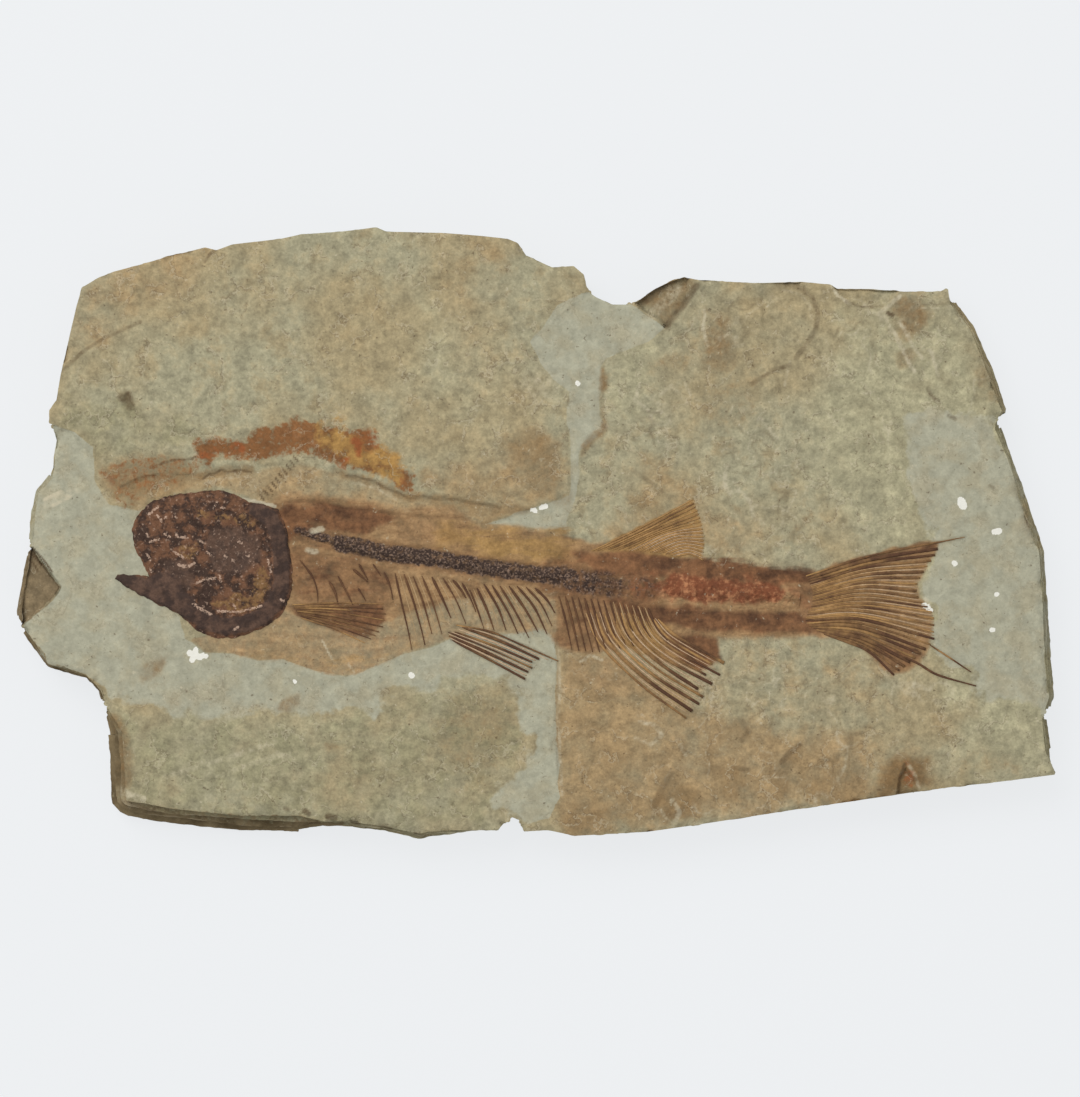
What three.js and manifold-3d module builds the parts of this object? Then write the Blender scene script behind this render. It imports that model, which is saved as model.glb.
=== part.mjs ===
// Fossil fish slab: a broken and repaired slab of fine lake mudstone with one large bony fish on its face.
// Millimetres. +X runs from the fish's head to its tail, +Y towards its back, +Z out of the face it lies on.
// The origin is under the middle of the slab, on the flat back that it rests on.
import * as THREE from "three";
import { mergeVertices } from "three/addons/utils/BufferGeometryUtils.js";
import Module from "manifold-3d";

const wasm = await Module();
wasm.setup();

// Slab: the height of the plane that the fish lies on, and the beds that the stone splits along
const FACE = 18;
const BED_TOPS = [5, 9.5, 14, FACE];
const BED_WANDER = { reach: 0.6, turnPerPoint: 2.4, turnPerBed: 1.9 };
const FIELD_RISE = 0.8;
const GLUE_LINE = 0.3;
const RUN_OUT = 4;
const CUT_MARGIN = 5;
const CUT_SPAN = 200;
const PROBE = 1;
const SAME_POINT = 1e-4;

// Broken edge of the slab, clockwise from the upper left corner. stepBack is how far the uppermost bed
// stands back from the lowest; below zero the uppermost bed leads and the lowest stands back.
const RIM = [
  {
    edge: "upper left", stepBack: -2,
    points: [
      [-158.5, 86.5], [-153.5, 89.5], [-147.5, 92], [-138, 94.5], [-127.5, 97.5], [-115.5, 100.5],
      [-111.5, 99.5], [-106, 101.5], [-89, 103.5], [-82, 105], [-68, 106], [-55.5, 107.5], [-52, 106],
      [-31.5, 105.5], [-19, 104.5], [-9.5, 103.5], [-6, 102], [-3, 97.5], [6, 93.5], [13.5, 94],
    ],
  },
  {
    edge: "notch over the upper filler", stepBack: -1,
    points: [[17, 91], [18.5, 85], [21.5, 83], [27, 80.5], [33.5, 80.5], [37, 82.5]],
  },
  {
    edge: "upper right", stepBack: -2,
    points: [
      [42, 86], [48, 89], [52, 90], [57.5, 89], [77, 88], [93, 88.5], [103.5, 87.5], [106, 86],
      [117, 86], [129.5, 85], [142, 85], [144.5, 86.5],
    ],
  },
  {
    edge: "right end", stepBack: 2.5,
    points: [
      [147.5, 82.5], [154.5, 73], [161.5, 57], [166, 43], [164, 40], [164, 37.5], [168, 27], [174, 9.5],
      [179, -6], [180, -19.5], [181.5, -44], [182.5, -57], [180, -65], [181.5, -75.5],
    ],
  },
  {
    edge: "lower right", stepBack: -1.5,
    points: [
      [182.5, -84], [163, -86.5], [145, -88.5], [127.5, -91], [93, -96], [57.5, -101.5], [40, -104],
      [23, -105], [14, -105.5], [4.5, -103.5],
    ],
  },
  {
    edge: "notch under the belly filler", stepBack: -0.5,
    points: [[-4, -104], [-5, -100], [-8, -99], [-11, -101], [-13, -103.5]],
  },
  {
    edge: "lower left", stepBack: 2,
    points: [
      [-29.5, -105.5], [-37, -106], [-40, -107.5], [-44.5, -106], [-54, -104], [-68, -102.5], [-73.5, -102.5],
    ],
  },
  {
    edge: "lower left corner", stepBack: 5.5,
    points: [
      [-82, -104.5], [-103, -104], [-127.5, -101.5], [-138, -100], [-148, -98], [-149, -93],
      [-149.5, -79], [-150, -70],
    ],
  },
  {
    edge: "hollow left of the belly filler", stepBack: 1.5,
    points: [[-151.5, -61.5], [-153.5, -55], [-158, -50.5], [-164.5, -48.5], [-171.5, -46.5]],
  },
  {
    edge: "left tip", stepBack: 2,
    points: [
      [-174, -43], [-177.5, -38], [-181.5, -32], [-182.5, -27], [-180, -14], [-178, -2], [-177, 8.5],
      [-175.5, 15.5], [-171, 21],
    ],
  },
  {
    edge: "left", stepBack: -1.5,
    points: [
      [-168.5, 27], [-167.5, 33], [-168.5, 37], [-170, 40], [-170, 43.5], [-167.5, 47], [-166, 56],
      [-160.5, 80],
    ],
  },
];

// Glue lines between the stones and the filler. A line's first end runs out over the slab's edge;
// its last end does so too, unless it stops at another line.
const JOINTS = [
  {
    between: "left and right halves", stopsAtLine: false,
    line: [
      [18.5, 85], [7.5, 80.5], [3.5, 73.5], [-2, 67.5], [2, 59.5], [7.5, 53], [12, 50], [11, 39.5],
      [12.5, 33], [12.5, 14], [11, 1.5], [10, -9], [8, -17.5], [6.5, -24.5], [6.5, -36], [7.5, -44.5],
      [7, -65], [8.5, -81], [8, -87], [9, -92], [5, -99.5], [-5, -101],
    ],
  },
  {
    between: "upper filler and right half", stopsAtLine: true,
    line: [
      [33.5, 80.5], [46, 72.5], [40, 67.5], [25, 62], [23, 59], [23.5, 52.5], [22.5, 47], [23, 41],
      [25.5, 37.5], [22, 34.5], [15.5, 29.5], [15.5, 19], [11, 1.5],
    ],
  },
  {
    between: "left half and belly filler", stopsAtLine: true,
    line: [
      [-168.5, 38.5], [-161, 36], [-154.5, 30.5], [-154, 19], [-149.5, 10.5], [-138, 8], [-135, -9],
      [-126, -24.5], [-122, -36], [-115.5, -41], [-106, -41.5], [-97, -44], [-88, -43.5], [-77, -47.5],
      [-66, -49.5], [-60.5, -48], [-47, -42], [-37, -39.5], [-23, -34], [-12, -35], [2, -32.5], [6.5, -36],
    ],
  },
  {
    between: "belly filler and lower stone", stopsAtLine: false,
    line: [
      [-151, -59.5], [-137, -61], [-103.5, -62.5], [-72, -60], [-59, -63], [-49.5, -56], [-33, -50],
      [-24, -48], [-7.5, -52], [-4, -60], [-2, -71.5], [-7, -82], [-12.5, -89], [-13.5, -95], [-10, -100],
    ],
  },
  {
    between: "belly filler and left chip", stopsAtLine: false,
    line: [[-178.5, -4.5], [-176, -4.5], [-172.5, -10], [-166, -18.5], [-169, -23], [-180.5, -32.5]],
  },
  {
    between: "right half and tail filler", stopsAtLine: false,
    line: [
      [164, 40], [157.5, 42], [149, 44.5], [138, 44.5], [130, 43], [132.5, 24.5], [139, 1.5], [140.5, -9],
      [138, -23], [139.5, -37], [147, -44.5], [156, -54.5], [166, -59.5], [180, -63],
    ],
  },
];

// A spot on each stone and each patch of filler, to tell the pieces apart once the slab is parted
const STONE_LOOK = { color: 0x9d9478, roughness: 0.92 };
const FILLER_LOOK = { color: 0xa3a48c, roughness: 0.96 };
const SLAB_PIECES = [
  { name: "stone_left", spot: [-60, 60], look: STONE_LOOK },
  { name: "stone_right", spot: [80, 40], look: STONE_LOOK },
  { name: "stone_lower_left", spot: [-80, -80], look: STONE_LOOK },
  { name: "stone_left_chip", spot: [-174, -18], look: { color: 0x7d6c4e, roughness: 0.9 } },
  { name: "filler_top", spot: [18, 65], look: FILLER_LOOK },
  { name: "filler_belly", spot: [-160, -25], look: FILLER_LOOK },
  { name: "filler_tail", spot: [155, -10], look: FILLER_LOOK },
];

// Foot of the raised field over the fish's back, from the left edge to the glue line, and its far corners
const FIELD = [
  [-153.6, 28], [-144.5, 16.5], [-131.5, 21], [-117, 21], [-82, 25.5], [-51, 16.5], [-40, 13], [-23, 12],
  [-3, 8.5], [12.2, 14], [12.2, 33], [10.7, 39.5], [11.5, 49.5], [7.2, 52.7], [1.7, 59.3], [-2.4, 67.5],
  [3.2, 73.8], [7.2, 80.8], [18, 85.2], [15, 120], [-200, 120], [-200, 41.5], [-168, 39.2],
  [-160.5, 36.8], [-153.6, 31],
];

// Places where a flake has come off the face, each with its depth
const FLAKES = [
  { depth: 3, points: [[35.5, 81], [46.4, 72.7], [52.5, 82], [54.5, 95], [35.5, 95]] },
  {
    depth: 1.6,
    points: [[104.5, 92], [104.5, 86.5], [108.5, 82], [114, 79.5], [122.5, 79.5], [127, 85], [127, 92]],
  },
  {
    depth: 0.8,
    points: [
      [88, 92], [98, 83.5], [102, 77], [101.5, 71], [97, 66.5], [91, 64.5], [84, 66], [80, 72], [79, 92],
    ],
  },
  { depth: 1.5, points: [[126.5, -95], [127.5, -85.5], [130, -82], [133, -86], [134, -95]] },
  { depth: 1.8, points: [[-190, -4.5], [-176, -4.5], [-166, -18.5], [-180.5, -32.5], [-190, -32.5]] },
];

// Fish: heights over the plane it lies on, and widths across each bone
const HEAD_RIM_HEIGHT = 0.8;
const HEAD_CROWN = 1.8;
const HEAD_SLOPE = 6;
const HEAD_SLOPE_STEPS = 3;
const GILL_COVER = { width: 5, height: 3 };
const JAW = { width: 6, height: 2.2 };
const SKULL_PLATE = { width: 2.4, height: 3 };
const COLUMN = { width: 5, height: 1.7 };
const VERTEBRA = 2.55;
const VERTEBRA_WAIST = 0.72;
const COLUMN_SAMPLES = 100;
const RIB = { width: 0.8, height: 0.65 };
const FIN_RAY = { width: 1, height: 0.8 };
const FIN_SKIN = 0.4;
const TIP_SHARE = 0.45;
const BONE_STEPS = 4;

const RIDGE_SECTION = [[-0.5, 0], [0, 1], [0.5, 0]];
const ROUNDED_SECTION = [[-0.5, 0], [-0.32, 1], [0.32, 1], [0.5, 0]];

const HEAD = [
  [-141, 1], [-140.5, 4.5], [-137.5, 8.5], [-133.5, 11.5], [-129, 13], [-122, 14.5], [-109, 15],
  [-104.5, 14], [-100.5, 11.5], [-94, 10.5], [-90, 8.5], [-88, 4.5], [-86, -5], [-85, -11.5], [-85, -19],
  [-88.5, -28], [-94, -32], [-100, -34.5], [-106, -36], [-112.5, -36], [-118.5, -33.5], [-125.5, -27],
  [-133, -19], [-138, -9], [-140.5, -4],
];
const GILL_COVER_LINE = [
  [-94, 8.5], [-89.5, 2], [-88, -6], [-87.7, -14], [-88.5, -20.5], [-92.5, -28], [-98, -31.7],
  [-107.5, -33.3], [-115, -32], [-120.5, -28],
];
const JAW_LINE = [[-146.5, -15], [-138, -18.5], [-129.5, -22], [-120.5, -27]];
const SKULL_PLATE_LINES = [
  [[-134, 5], [-120, 1], [-103, -2]],
  [[-130, -9], [-113, -13], [-97, -12]],
  [[-119, -24], [-106, -27], [-96, -22]],
];

const FRONT_COLUMN = [[-83.5, 1.5], [-72, -2], [-54, -6], [-37, -8], [-23, -10.5], [-5, -13], [7.8, -14.7]];
const REAR_COLUMN = [[10.4, -15.6], [23, -17.5], [37, -18.5], [57.5, -20], [79, -21.5], [92, -22]];

// Each rib leaves the column at a distance along X, bends at its middle point and ends at its tip
const RIBS = [
  { from: -82, bend: [-78, -14.5], tip: [-76.2, -23.2] },
  { from: -76, bend: [-70.5, -18.5], tip: [-69, -23.2] },
  { from: -72.5, bend: [-66.5, -19], tip: [-64, -23.2] },
  { from: -67, bend: [-62.5, -14.5], tip: [-59.2, -22.6] },
  { from: -60, bend: [-56.5, -10.5], tip: [-54, -14.5] },
  { from: -52, bend: [-46, -22], tip: [-43.5, -38.5] },
  { from: -48.5, bend: [-43, -27], tip: [-39.5, -38] },
  { from: -45.5, bend: [-40, -22.5], tip: [-36.5, -36] },
  { from: -42, bend: [-35, -29], tip: [-32.3, -35.6] },
  { from: -35, bend: [-27.5, -23.5], tip: [-24.2, -30.6] },
  { from: -29, bend: [-22, -22.5], tip: [-18.5, -31] },
  { from: -23.5, bend: [-15.5, -27], tip: [-13, -33.2] },
  { from: -20, bend: [-12, -28], tip: [-8, -34] },
  { from: -16.5, bend: [-8.5, -30], tip: [-4.5, -36] },
  { from: -13, bend: [-6, -27.5], tip: [0, -37] },
  { from: -9.5, bend: [-2, -27], tip: [2.6, -33] },
  { from: -6.5, bend: [0.8, -24], tip: [5, -34] },
  { from: -2.5, bend: [2.5, -21.5], tip: [5.6, -27] },
];
const TAIL_SPINES = [
  { from: 12, bend: [14.5, -27], tip: [18.5, -36] },
  { from: 15, bend: [18, -28], tip: [22, -37] },
  { from: 18.5, bend: [21.5, -28], tip: [24.5, -36] },
  { from: 22, bend: [25, -27.5], tip: [28, -34.5] },
  { from: 25.5, bend: [28.5, -26.5], tip: [31.5, -32.5] },
  { from: 29, bend: [32, -25.5], tip: [35.5, -31] },
  { from: 33, bend: [36, -25], tip: [40, -30] },
  { from: 37, bend: [40.5, -25], tip: [45, -29.5] },
];

const PECTORAL_SKIN = [
  [-84, -25], [-70.5, -24.4], [-55, -24.2], [-53.5, -28], [-61, -36], [-76, -31.5], [-82, -28.5],
];
const PECTORAL_RAYS = [
  [[-83, -25.5], [-68, -25.2], [-52.5, -24.6]],
  [[-83, -26], [-68, -27], [-52, -28]],
  [[-83, -26.5], [-68, -29], [-53, -31.8]],
  [[-82.5, -27.3], [-68, -31], [-55.5, -35.5]],
  [[-82, -28], [-71, -32], [-59, -38.5]],
];
const PELVIC_SKIN = [[-30.8, -33.6], [-27, -31.4], [-22, -33.2], [-22, -38], [-28.5, -37]];
const PELVIC_RAYS = [
  [[-27.5, -31.9], [-15.5, -34.3], [-3, -39.5], [8, -44.5]],
  [[-28, -32.6], [-14, -37], [1.5, -43.5]],
  [[-28, -34.3], [-14, -39], [-1, -45]],
  [[-30, -34], [-14, -41], [-1, -47]],
  [[-30, -35.2], [-14, -43], [-2.5, -48.5]],
  [[-29, -36.6], [-15, -44.5], [-3.5, -50.5]],
];
const DORSAL_SKIN = [
  [24, -6], [26, -2.8], [37, 3.6], [53, 12.2], [55.5, 11.5], [57, 4.5], [58, -3.5], [58, -8], [40, -7.5],
];
const DORSAL_RAYS = {
  roots: [[26, -3.6], [33, -4.5], [45, -7]],
  tips: [[53.6, 12.3], [56, 6], [57.4, -0.5], [57.8, -7]],
  count: 9,
  sag: 0.8,
};
const ANAL_SKIN = [
  [26, -45], [27, -40], [34, -34], [46, -32.4], [62, -33.2], [63, -43], [52, -46.5], [40, -48], [30, -48],
];
const ANAL_RAYS = {
  roots: [[26.8, -44.5], [28.5, -39], [33, -35], [47, -33]],
  tips: [[53, -64], [57, -59.5], [60, -55.5], [65.5, -47], [64.5, -39]],
  count: 10,
  sag: -1.6,
};
const TAIL_SKIN = [
  [93, -16], [98.5, -13], [103, -11], [119.5, -6.5], [134.5, -2.8], [141, -2.5], [140.5, -6.5],
  [133.5, -17], [134.5, -22.5], [139, -26.5], [139, -34], [134.5, -45.5], [125, -49], [118.5, -44.5],
  [109, -37], [100, -35], [93, -29],
];
const TAIL_RAYS = {
  roots: [[94, -17], [96, -22], [94, -28]],
  tips: [
    [140.5, -3], [138.5, -9], [133.5, -17], [134.5, -22.5], [138.8, -27], [138.8, -34], [134.5, -45],
    [125, -48.5],
  ],
  count: 17,
  sag: 0,
};
const TAIL_THREADS = [
  [[130, -4], [141, -2.6], [150.5, -1]],
  [[120, -42], [137, -47.5], [154.5, -53]],
  [[128, -36], [142, -41.5], [152.5, -48]],
];

const BONE_LOOK = { color: 0x4a3426, roughness: 0.8 };
const FIN_LOOK = { color: 0x6a4a30, roughness: 0.85 };

// A closed geometry as a solid that can be joined and cut
function solidOf(geometry) {
  const bare = new THREE.BufferGeometry();
  bare.setAttribute("position", geometry.getAttribute("position"));
  bare.setIndex(geometry.index);
  const merged = mergeVertices(bare, SAME_POINT);
  return new wasm.Manifold(new wasm.Mesh({
    numProp: 3,
    vertProperties: merged.getAttribute("position").array,
    triVerts: new Uint32Array(merged.index.array),
  }));
}

function join(solids) {
  return solids.reduce((whole, next) => whole.add(next));
}

function meshOf(name, solid, look) {
  const { vertProperties, triVerts } = solid.getMesh();
  const geometry = new THREE.BufferGeometry();
  geometry.setAttribute("position", new THREE.BufferAttribute(vertProperties, 3));
  geometry.setIndex(new THREE.BufferAttribute(triVerts, 1));
  geometry.computeVertexNormals();
  const mesh = new THREE.Mesh(geometry, new THREE.MeshStandardMaterial({ ...look, metalness: 0 }));
  mesh.name = name;
  return mesh;
}

function shapeOf(points) {
  return new THREE.Shape(points.map(([x, y]) => new THREE.Vector2(x, y)));
}

// An outline carried straight up from one height to another
function prism(points, bottom, top) {
  const geometry = new THREE.ExtrudeGeometry(shapeOf(points), { depth: top - bottom, bevelEnabled: false });
  geometry.translate(0, 0, bottom);
  return solidOf(geometry);
}

// Unit vector to the left of the way from one point to another
function leftOf([x0, y0], [x1, y1]) {
  const length = Math.hypot(x1 - x0, y1 - y0);
  return [(y0 - y1) / length, (x1 - x0) / length];
}

// The way out from a corner, so that its two sides both move by one unit
function mitre([ax, ay], [bx, by]) {
  const scale = 1 + ax * bx + ay * by;
  return [(ax + bx) / scale, (ay + by) / scale];
}

// One bed of the slab: the rim drawn in at each point by the bed's share of the step, with a slight wander
function bedOutline(level) {
  const last = BED_TOPS.length - 1;
  const rim = RIM.flatMap(({ stepBack, points }) => points.map((point) => ({ point, stepBack })));
  return rim.map(({ point, stepBack }, i) => {
    const before = rim.at(i - 1).point;
    const after = rim[(i + 1) % rim.length].point;
    const [outX, outY] = mitre(leftOf(before, point), leftOf(point, after));
    const steps = stepBack > 0 ? level : last - level;
    const turn = BED_WANDER.turnPerPoint * i + BED_WANDER.turnPerBed * level;
    const wander = steps > 0 ? BED_WANDER.reach * Math.sin(turn) : 0;
    const inset = (Math.abs(stepBack) * steps) / last + Math.max(wander, 0);
    return [point[0] - outX * inset, point[1] - outY * inset];
  });
}

function slabBlank() {
  const beds = BED_TOPS.map((top, level) => prism(bedOutline(level), level ? BED_TOPS[level - 1] : 0, top));
  const topBed = bedOutline(BED_TOPS.length - 1);
  const field = prism(FIELD, FACE, FACE + FIELD_RISE).intersect(prism(topBed, 0, FACE + CUT_MARGIN));
  const flakes = FLAKES.map(({ depth, points }) => prism(points, FACE - depth, FACE + CUT_MARGIN));
  return join([...beds, field]).subtract(join(flakes));
}

// A strip as wide as a glue line along a broken line, run on past the ends that leave the slab
function glueStrip({ line, stopsAtLine }) {
  const runOn = ([x0, y0], [x1, y1]) => {
    const share = RUN_OUT / Math.hypot(x1 - x0, y1 - y0);
    return [x1 + (x1 - x0) * share, y1 + (y1 - y0) * share];
  };
  const path = [runOn(line[1], line[0]), ...line];
  if (!stopsAtLine) path.push(runOn(line.at(-2), line.at(-1)));
  const sides = path.slice(1).map((point, i) => leftOf(path[i], point));
  const shift = (way) => path.map(([x, y], i) => {
    const [outX, outY] = mitre(sides[Math.max(i - 1, 0)], sides[Math.min(i, sides.length - 1)]);
    return [x + (outX * way * GLUE_LINE) / 2, y + (outY * way * GLUE_LINE) / 2];
  });
  return prism([...shift(1), ...shift(-1).reverse()], -CUT_MARGIN, FACE + CUT_MARGIN);
}

// The slab parted along its glue lines, each piece found by the spot it covers
function slabMeshes() {
  const pieces = slabBlank().subtract(join(JOINTS.map(glueStrip))).decompose();
  return SLAB_PIECES.map(({ name, spot: [x, y], look }) => {
    const probe = new THREE.BoxGeometry(PROBE, PROBE, PROBE).translate(x, y, FACE / 2);
    const piece = pieces.find((one) => one.intersect(solidOf(probe)).volume() > 0);
    return meshOf(name, piece, look);
  });
}

function curveThrough(points) {
  return new THREE.CatmullRomCurve3(points.map(([x, y]) => new THREE.Vector3(x, y, 0)));
}

// A low ridge on the bedding plane: a section carried along a curve. size gives its width and height in mm
// at a share of the way along, and the section is in shares of them.
function ridge(curve, steps, section, size) {
  const corners = section.length;
  const positions = [];
  const index = [];
  for (let k = 0; k <= steps; k++) {
    const share = k / steps;
    const at = curve.getPointAt(share);
    const along = curve.getTangentAt(share);
    const { width, height } = size(share);
    for (const [across, up] of section)
      positions.push(at.x - along.y * across * width, at.y + along.x * across * width, up * height);
  }
  for (let k = 0; k < steps; k++)
    for (let i = 0; i < corners; i++) {
      const a = k * corners + i;
      const b = k * corners + ((i + 1) % corners);
      index.push(a, a + corners, b, b, a + corners, b + corners);
    }
  const end = steps * corners;
  for (let i = 1; i < corners - 1; i++) {
    index.push(0, i, i + 1);
    index.push(end, end + i + 1, end + i);
  }
  const geometry = new THREE.BufferGeometry();
  geometry.setAttribute("position", new THREE.Float32BufferAttribute(positions, 3));
  geometry.setIndex(index);
  return solidOf(geometry);
}

// A rib or a fin ray: three-sided, thinning to its tip
function ray(points, { width, height }) {
  const thinning = (share) => {
    const left = 1 - share * (1 - TIP_SHARE);
    return { width: width * left, height: height * left };
  };
  return ridge(curveThrough(points), BONE_STEPS, RIDGE_SECTION, thinning);
}

// The row of vertebrae: a rounded ridge that is waisted at the middle of each one
function column(points) {
  const curve = curveThrough(points);
  const steps = 2 * Math.round(curve.getLength() / VERTEBRA);
  const waisted = (share) => {
    const size = Math.round(share * steps) % 2 ? VERTEBRA_WAIST : 1;
    return { width: COLUMN.width * size, height: COLUMN.height * size };
  };
  return ridge(curve, steps, ROUNDED_SECTION, waisted);
}

// Ribs or tail spines on a column: each starts on its middle line
function hungFrom(points, bones) {
  const middle = curveThrough(points).getSpacedPoints(COLUMN_SAMPLES);
  return bones.map(({ from, bend, tip }) => {
    const start = middle.find(({ x }) => x >= from);
    return ray([[start.x, start.y], bend, tip], RIB);
  });
}

// Fin rays spread evenly from one line of roots to one line of tips, each bowed a little at its middle
function fan({ roots, tips, count, sag }) {
  const inner = curveThrough(roots);
  const outer = curveThrough(tips);
  return Array.from({ length: count }, (_, i) => {
    const root = inner.getPointAt(i / (count - 1));
    const tip = outer.getPointAt(i / (count - 1));
    const middle = [(root.x + tip.x) / 2, (root.y + tip.y) / 2 + sag];
    return ray([[root.x, root.y], middle, [tip.x, tip.y]], FIN_RAY);
  });
}

function fin(name, skin, rays) {
  return meshOf(name, join([prism(skin, 0, FIN_SKIN), ...rays]), FIN_LOOK);
}

// The flattened head: a plate whose rim slopes up to a low crown, with the gill cover, jaw and skull plates
function skull() {
  const dome = new THREE.ExtrudeGeometry(shapeOf(HEAD), {
    depth: HEAD_RIM_HEIGHT,
    bevelThickness: HEAD_CROWN,
    bevelSize: HEAD_SLOPE,
    bevelOffset: -HEAD_SLOPE,
    bevelSegments: HEAD_SLOPE_STEPS,
  });
  const [headX, headY] = HEAD[0];
  const under = new THREE.BoxGeometry(CUT_SPAN, CUT_SPAN, CUT_MARGIN);
  under.translate(headX, headY, -CUT_MARGIN / 2);
  const even = (size) => () => size;
  const bar = (line, size, steps) => ridge(curveThrough(line), steps, ROUNDED_SECTION, even(size));
  return join([
    solidOf(dome).subtract(solidOf(under)),
    bar(GILL_COVER_LINE, GILL_COVER, 2 * GILL_COVER_LINE.length),
    bar(JAW_LINE, JAW, 2 * BONE_STEPS),
    ...SKULL_PLATE_LINES.map((line) => bar(line, SKULL_PLATE, BONE_STEPS)),
  ]);
}

const slab = new THREE.Group();
slab.add(...slabMeshes());

const fish = new THREE.Group();
fish.position.z = FACE;
fish.add(
  meshOf("skull", skull(), BONE_LOOK),
  meshOf("backbone_front", join([column(FRONT_COLUMN), ...hungFrom(FRONT_COLUMN, RIBS)]), BONE_LOOK),
  meshOf("backbone_rear", join([column(REAR_COLUMN), ...hungFrom(REAR_COLUMN, TAIL_SPINES)]), BONE_LOOK),
  fin("pectoral_fin", PECTORAL_SKIN, PECTORAL_RAYS.map((line) => ray(line, FIN_RAY))),
  fin("pelvic_fin", PELVIC_SKIN, PELVIC_RAYS.map((line) => ray(line, FIN_RAY))),
  fin("dorsal_fin", DORSAL_SKIN, fan(DORSAL_RAYS)),
  fin("anal_fin", ANAL_SKIN, fan(ANAL_RAYS)),
  fin("tail_fin", TAIL_SKIN, [...fan(TAIL_RAYS), ...TAIL_THREADS.map((line) => ray(line, FIN_RAY))]),
);

const fossil = new THREE.Group();
fossil.add(slab, fish);

export default fossil;
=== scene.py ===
"""Looks of the fossil fish slab: a mended slab of lake mudstone with one flattened bony fish on its face.

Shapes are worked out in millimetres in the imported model's frame, as whole numpy arrays, and put into meshes
in metres. Lists of points are in pixels of the photograph, and PIXEL is what one of them covers on the face.
"""
import math

import bmesh
import bpy
import numpy as np
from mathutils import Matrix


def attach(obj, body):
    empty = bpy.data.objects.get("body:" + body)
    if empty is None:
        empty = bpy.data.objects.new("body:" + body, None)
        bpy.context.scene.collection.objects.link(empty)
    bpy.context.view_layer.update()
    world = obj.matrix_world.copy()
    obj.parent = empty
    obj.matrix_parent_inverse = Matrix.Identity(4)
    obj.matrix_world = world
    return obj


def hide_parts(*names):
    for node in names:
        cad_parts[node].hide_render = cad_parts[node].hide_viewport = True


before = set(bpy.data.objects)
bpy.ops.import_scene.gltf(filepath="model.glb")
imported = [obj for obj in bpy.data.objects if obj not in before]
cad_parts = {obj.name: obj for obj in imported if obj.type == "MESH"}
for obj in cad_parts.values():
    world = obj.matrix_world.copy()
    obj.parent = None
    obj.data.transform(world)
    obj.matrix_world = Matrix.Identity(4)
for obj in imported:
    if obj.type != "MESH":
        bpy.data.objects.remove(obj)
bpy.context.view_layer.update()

# Scale
MM = 0.001
PIXEL = 0.35
CENTRE_PIXEL = np.array([535, 534.5])
PICTURE = (1080, 1097)
FACE = 18.0
BED_TOPS = [5.0, 9.5, 14.0]
BED_MIDDLES = [2.5, 7.0, 12.0, 14.5]

# Fineness of the meshes, in mm
SLAB_CELL = 0.62
FILLER_CELL = 0.46
SKULL_CELL = 0.3
RAY_STEPS = 19
SEAM_OVERLAP = 0.15
TIP_CLOSING = 0.55
SEAM_DROP = {"stone_left": 0.03, "filler_top": 0.06, "filler_belly": 0.06, "filler_tail": 0.06}
FILLER_OVERLAP = 0.5
RIM_ANGLE = math.radians(50)

STONES = ["stone_left", "stone_right", "stone_lower_left", "stone_left_chip"]
FILLERS = ["filler_top", "filler_belly", "filler_tail"]

# Joints and ledges of the slab
MAIN_JOINT = [
    (588, 292), (557, 304), (530, 342), (540, 365), (569, 392), (567, 421), (571, 440), (571, 495),
    (566, 530), (563, 560), (554, 605), (553, 638), (557, 662), (555, 720), (559, 766), (561, 797),
    (550, 819),
]
LOWER_JOINT = [
    (104, 705), (144, 709), (239, 713), (279, 709), (330, 706), (366, 715), (393, 695), (416, 686),
    (466, 671), (514, 683), (524, 706), (529, 739), (515, 769), (499, 789), (506, 820),
]
TAIL_JOINT = [
    (1004, 420), (960, 408), (906, 412), (914, 465), (932, 530), (936, 560), (930, 600), (933, 640),
    (955, 662), (980, 690), (1010, 705), (1049, 715),
]
EARTHY_EDGE = [(0, 600), (60, 640), (100, 690), (140, 780), (340, 800), (360, 860), (0, 860)]
FILLER_TIPS = [(568, 519), (553, 637)]
FILLER_SMEAR = [(487, 524), (512, 514), (530, 509), (568, 496), (569, 530), (545, 530), (520, 526)]
FIELD_FOOT = [
    (92, 455), (105, 470), (122, 487), (159, 475), (200, 475), (226, 469), (250, 468), (300, 462),
    (335, 470), (365, 480), (390, 488), (404, 495), (439, 497), (484, 505), (519, 507), (526, 510),
    (568, 495),
]
FIELD = FIELD_FOOT + [
    (571, 440), (569, 392), (530, 342), (588, 292), (590, 190), (30, 190), (30, 425), (70, 432),
]
STRIP = FIELD_FOOT[2:-1] + [
    (487, 524), (470, 518), (452, 514), (430, 516), (398, 513), (378, 511), (359, 507), (321, 501),
    (287, 499), (272, 507), (250, 500), (223, 490), (187, 492), (150, 500), (135, 515),
]
CORNER_BEYOND_CREASE = [
    (40, 390), (60, 372), (85, 350), (105, 338), (140, 322), (180, 290), (216, 250), (120, 200),
    (40, 250),
]
FLAKES = [
    (3.0, [(636, 303), (667.5, 327), (685, 300), (691, 263), (636, 263)]),
    (1.6, [(833.5, 271), (833.5, 287), (845, 300), (861, 307), (885, 307), (898, 291), (898, 271)]),
    (0.8, [
        (786, 271), (815, 296), (826, 314), (825, 332), (812, 344), (795, 350), (775, 346), (764, 329),
        (761, 271)]),
    (1.5, [(896, 806), (899, 779), (906, 769), (915, 780), (918, 806)]),
    (1.8, [(-10, 548), (32, 548), (60, 587), (19, 627), (-10, 627)]),
    (0.9, [(122, 398), (128, 391), (133, 409), (123, 405)]),
]

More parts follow.
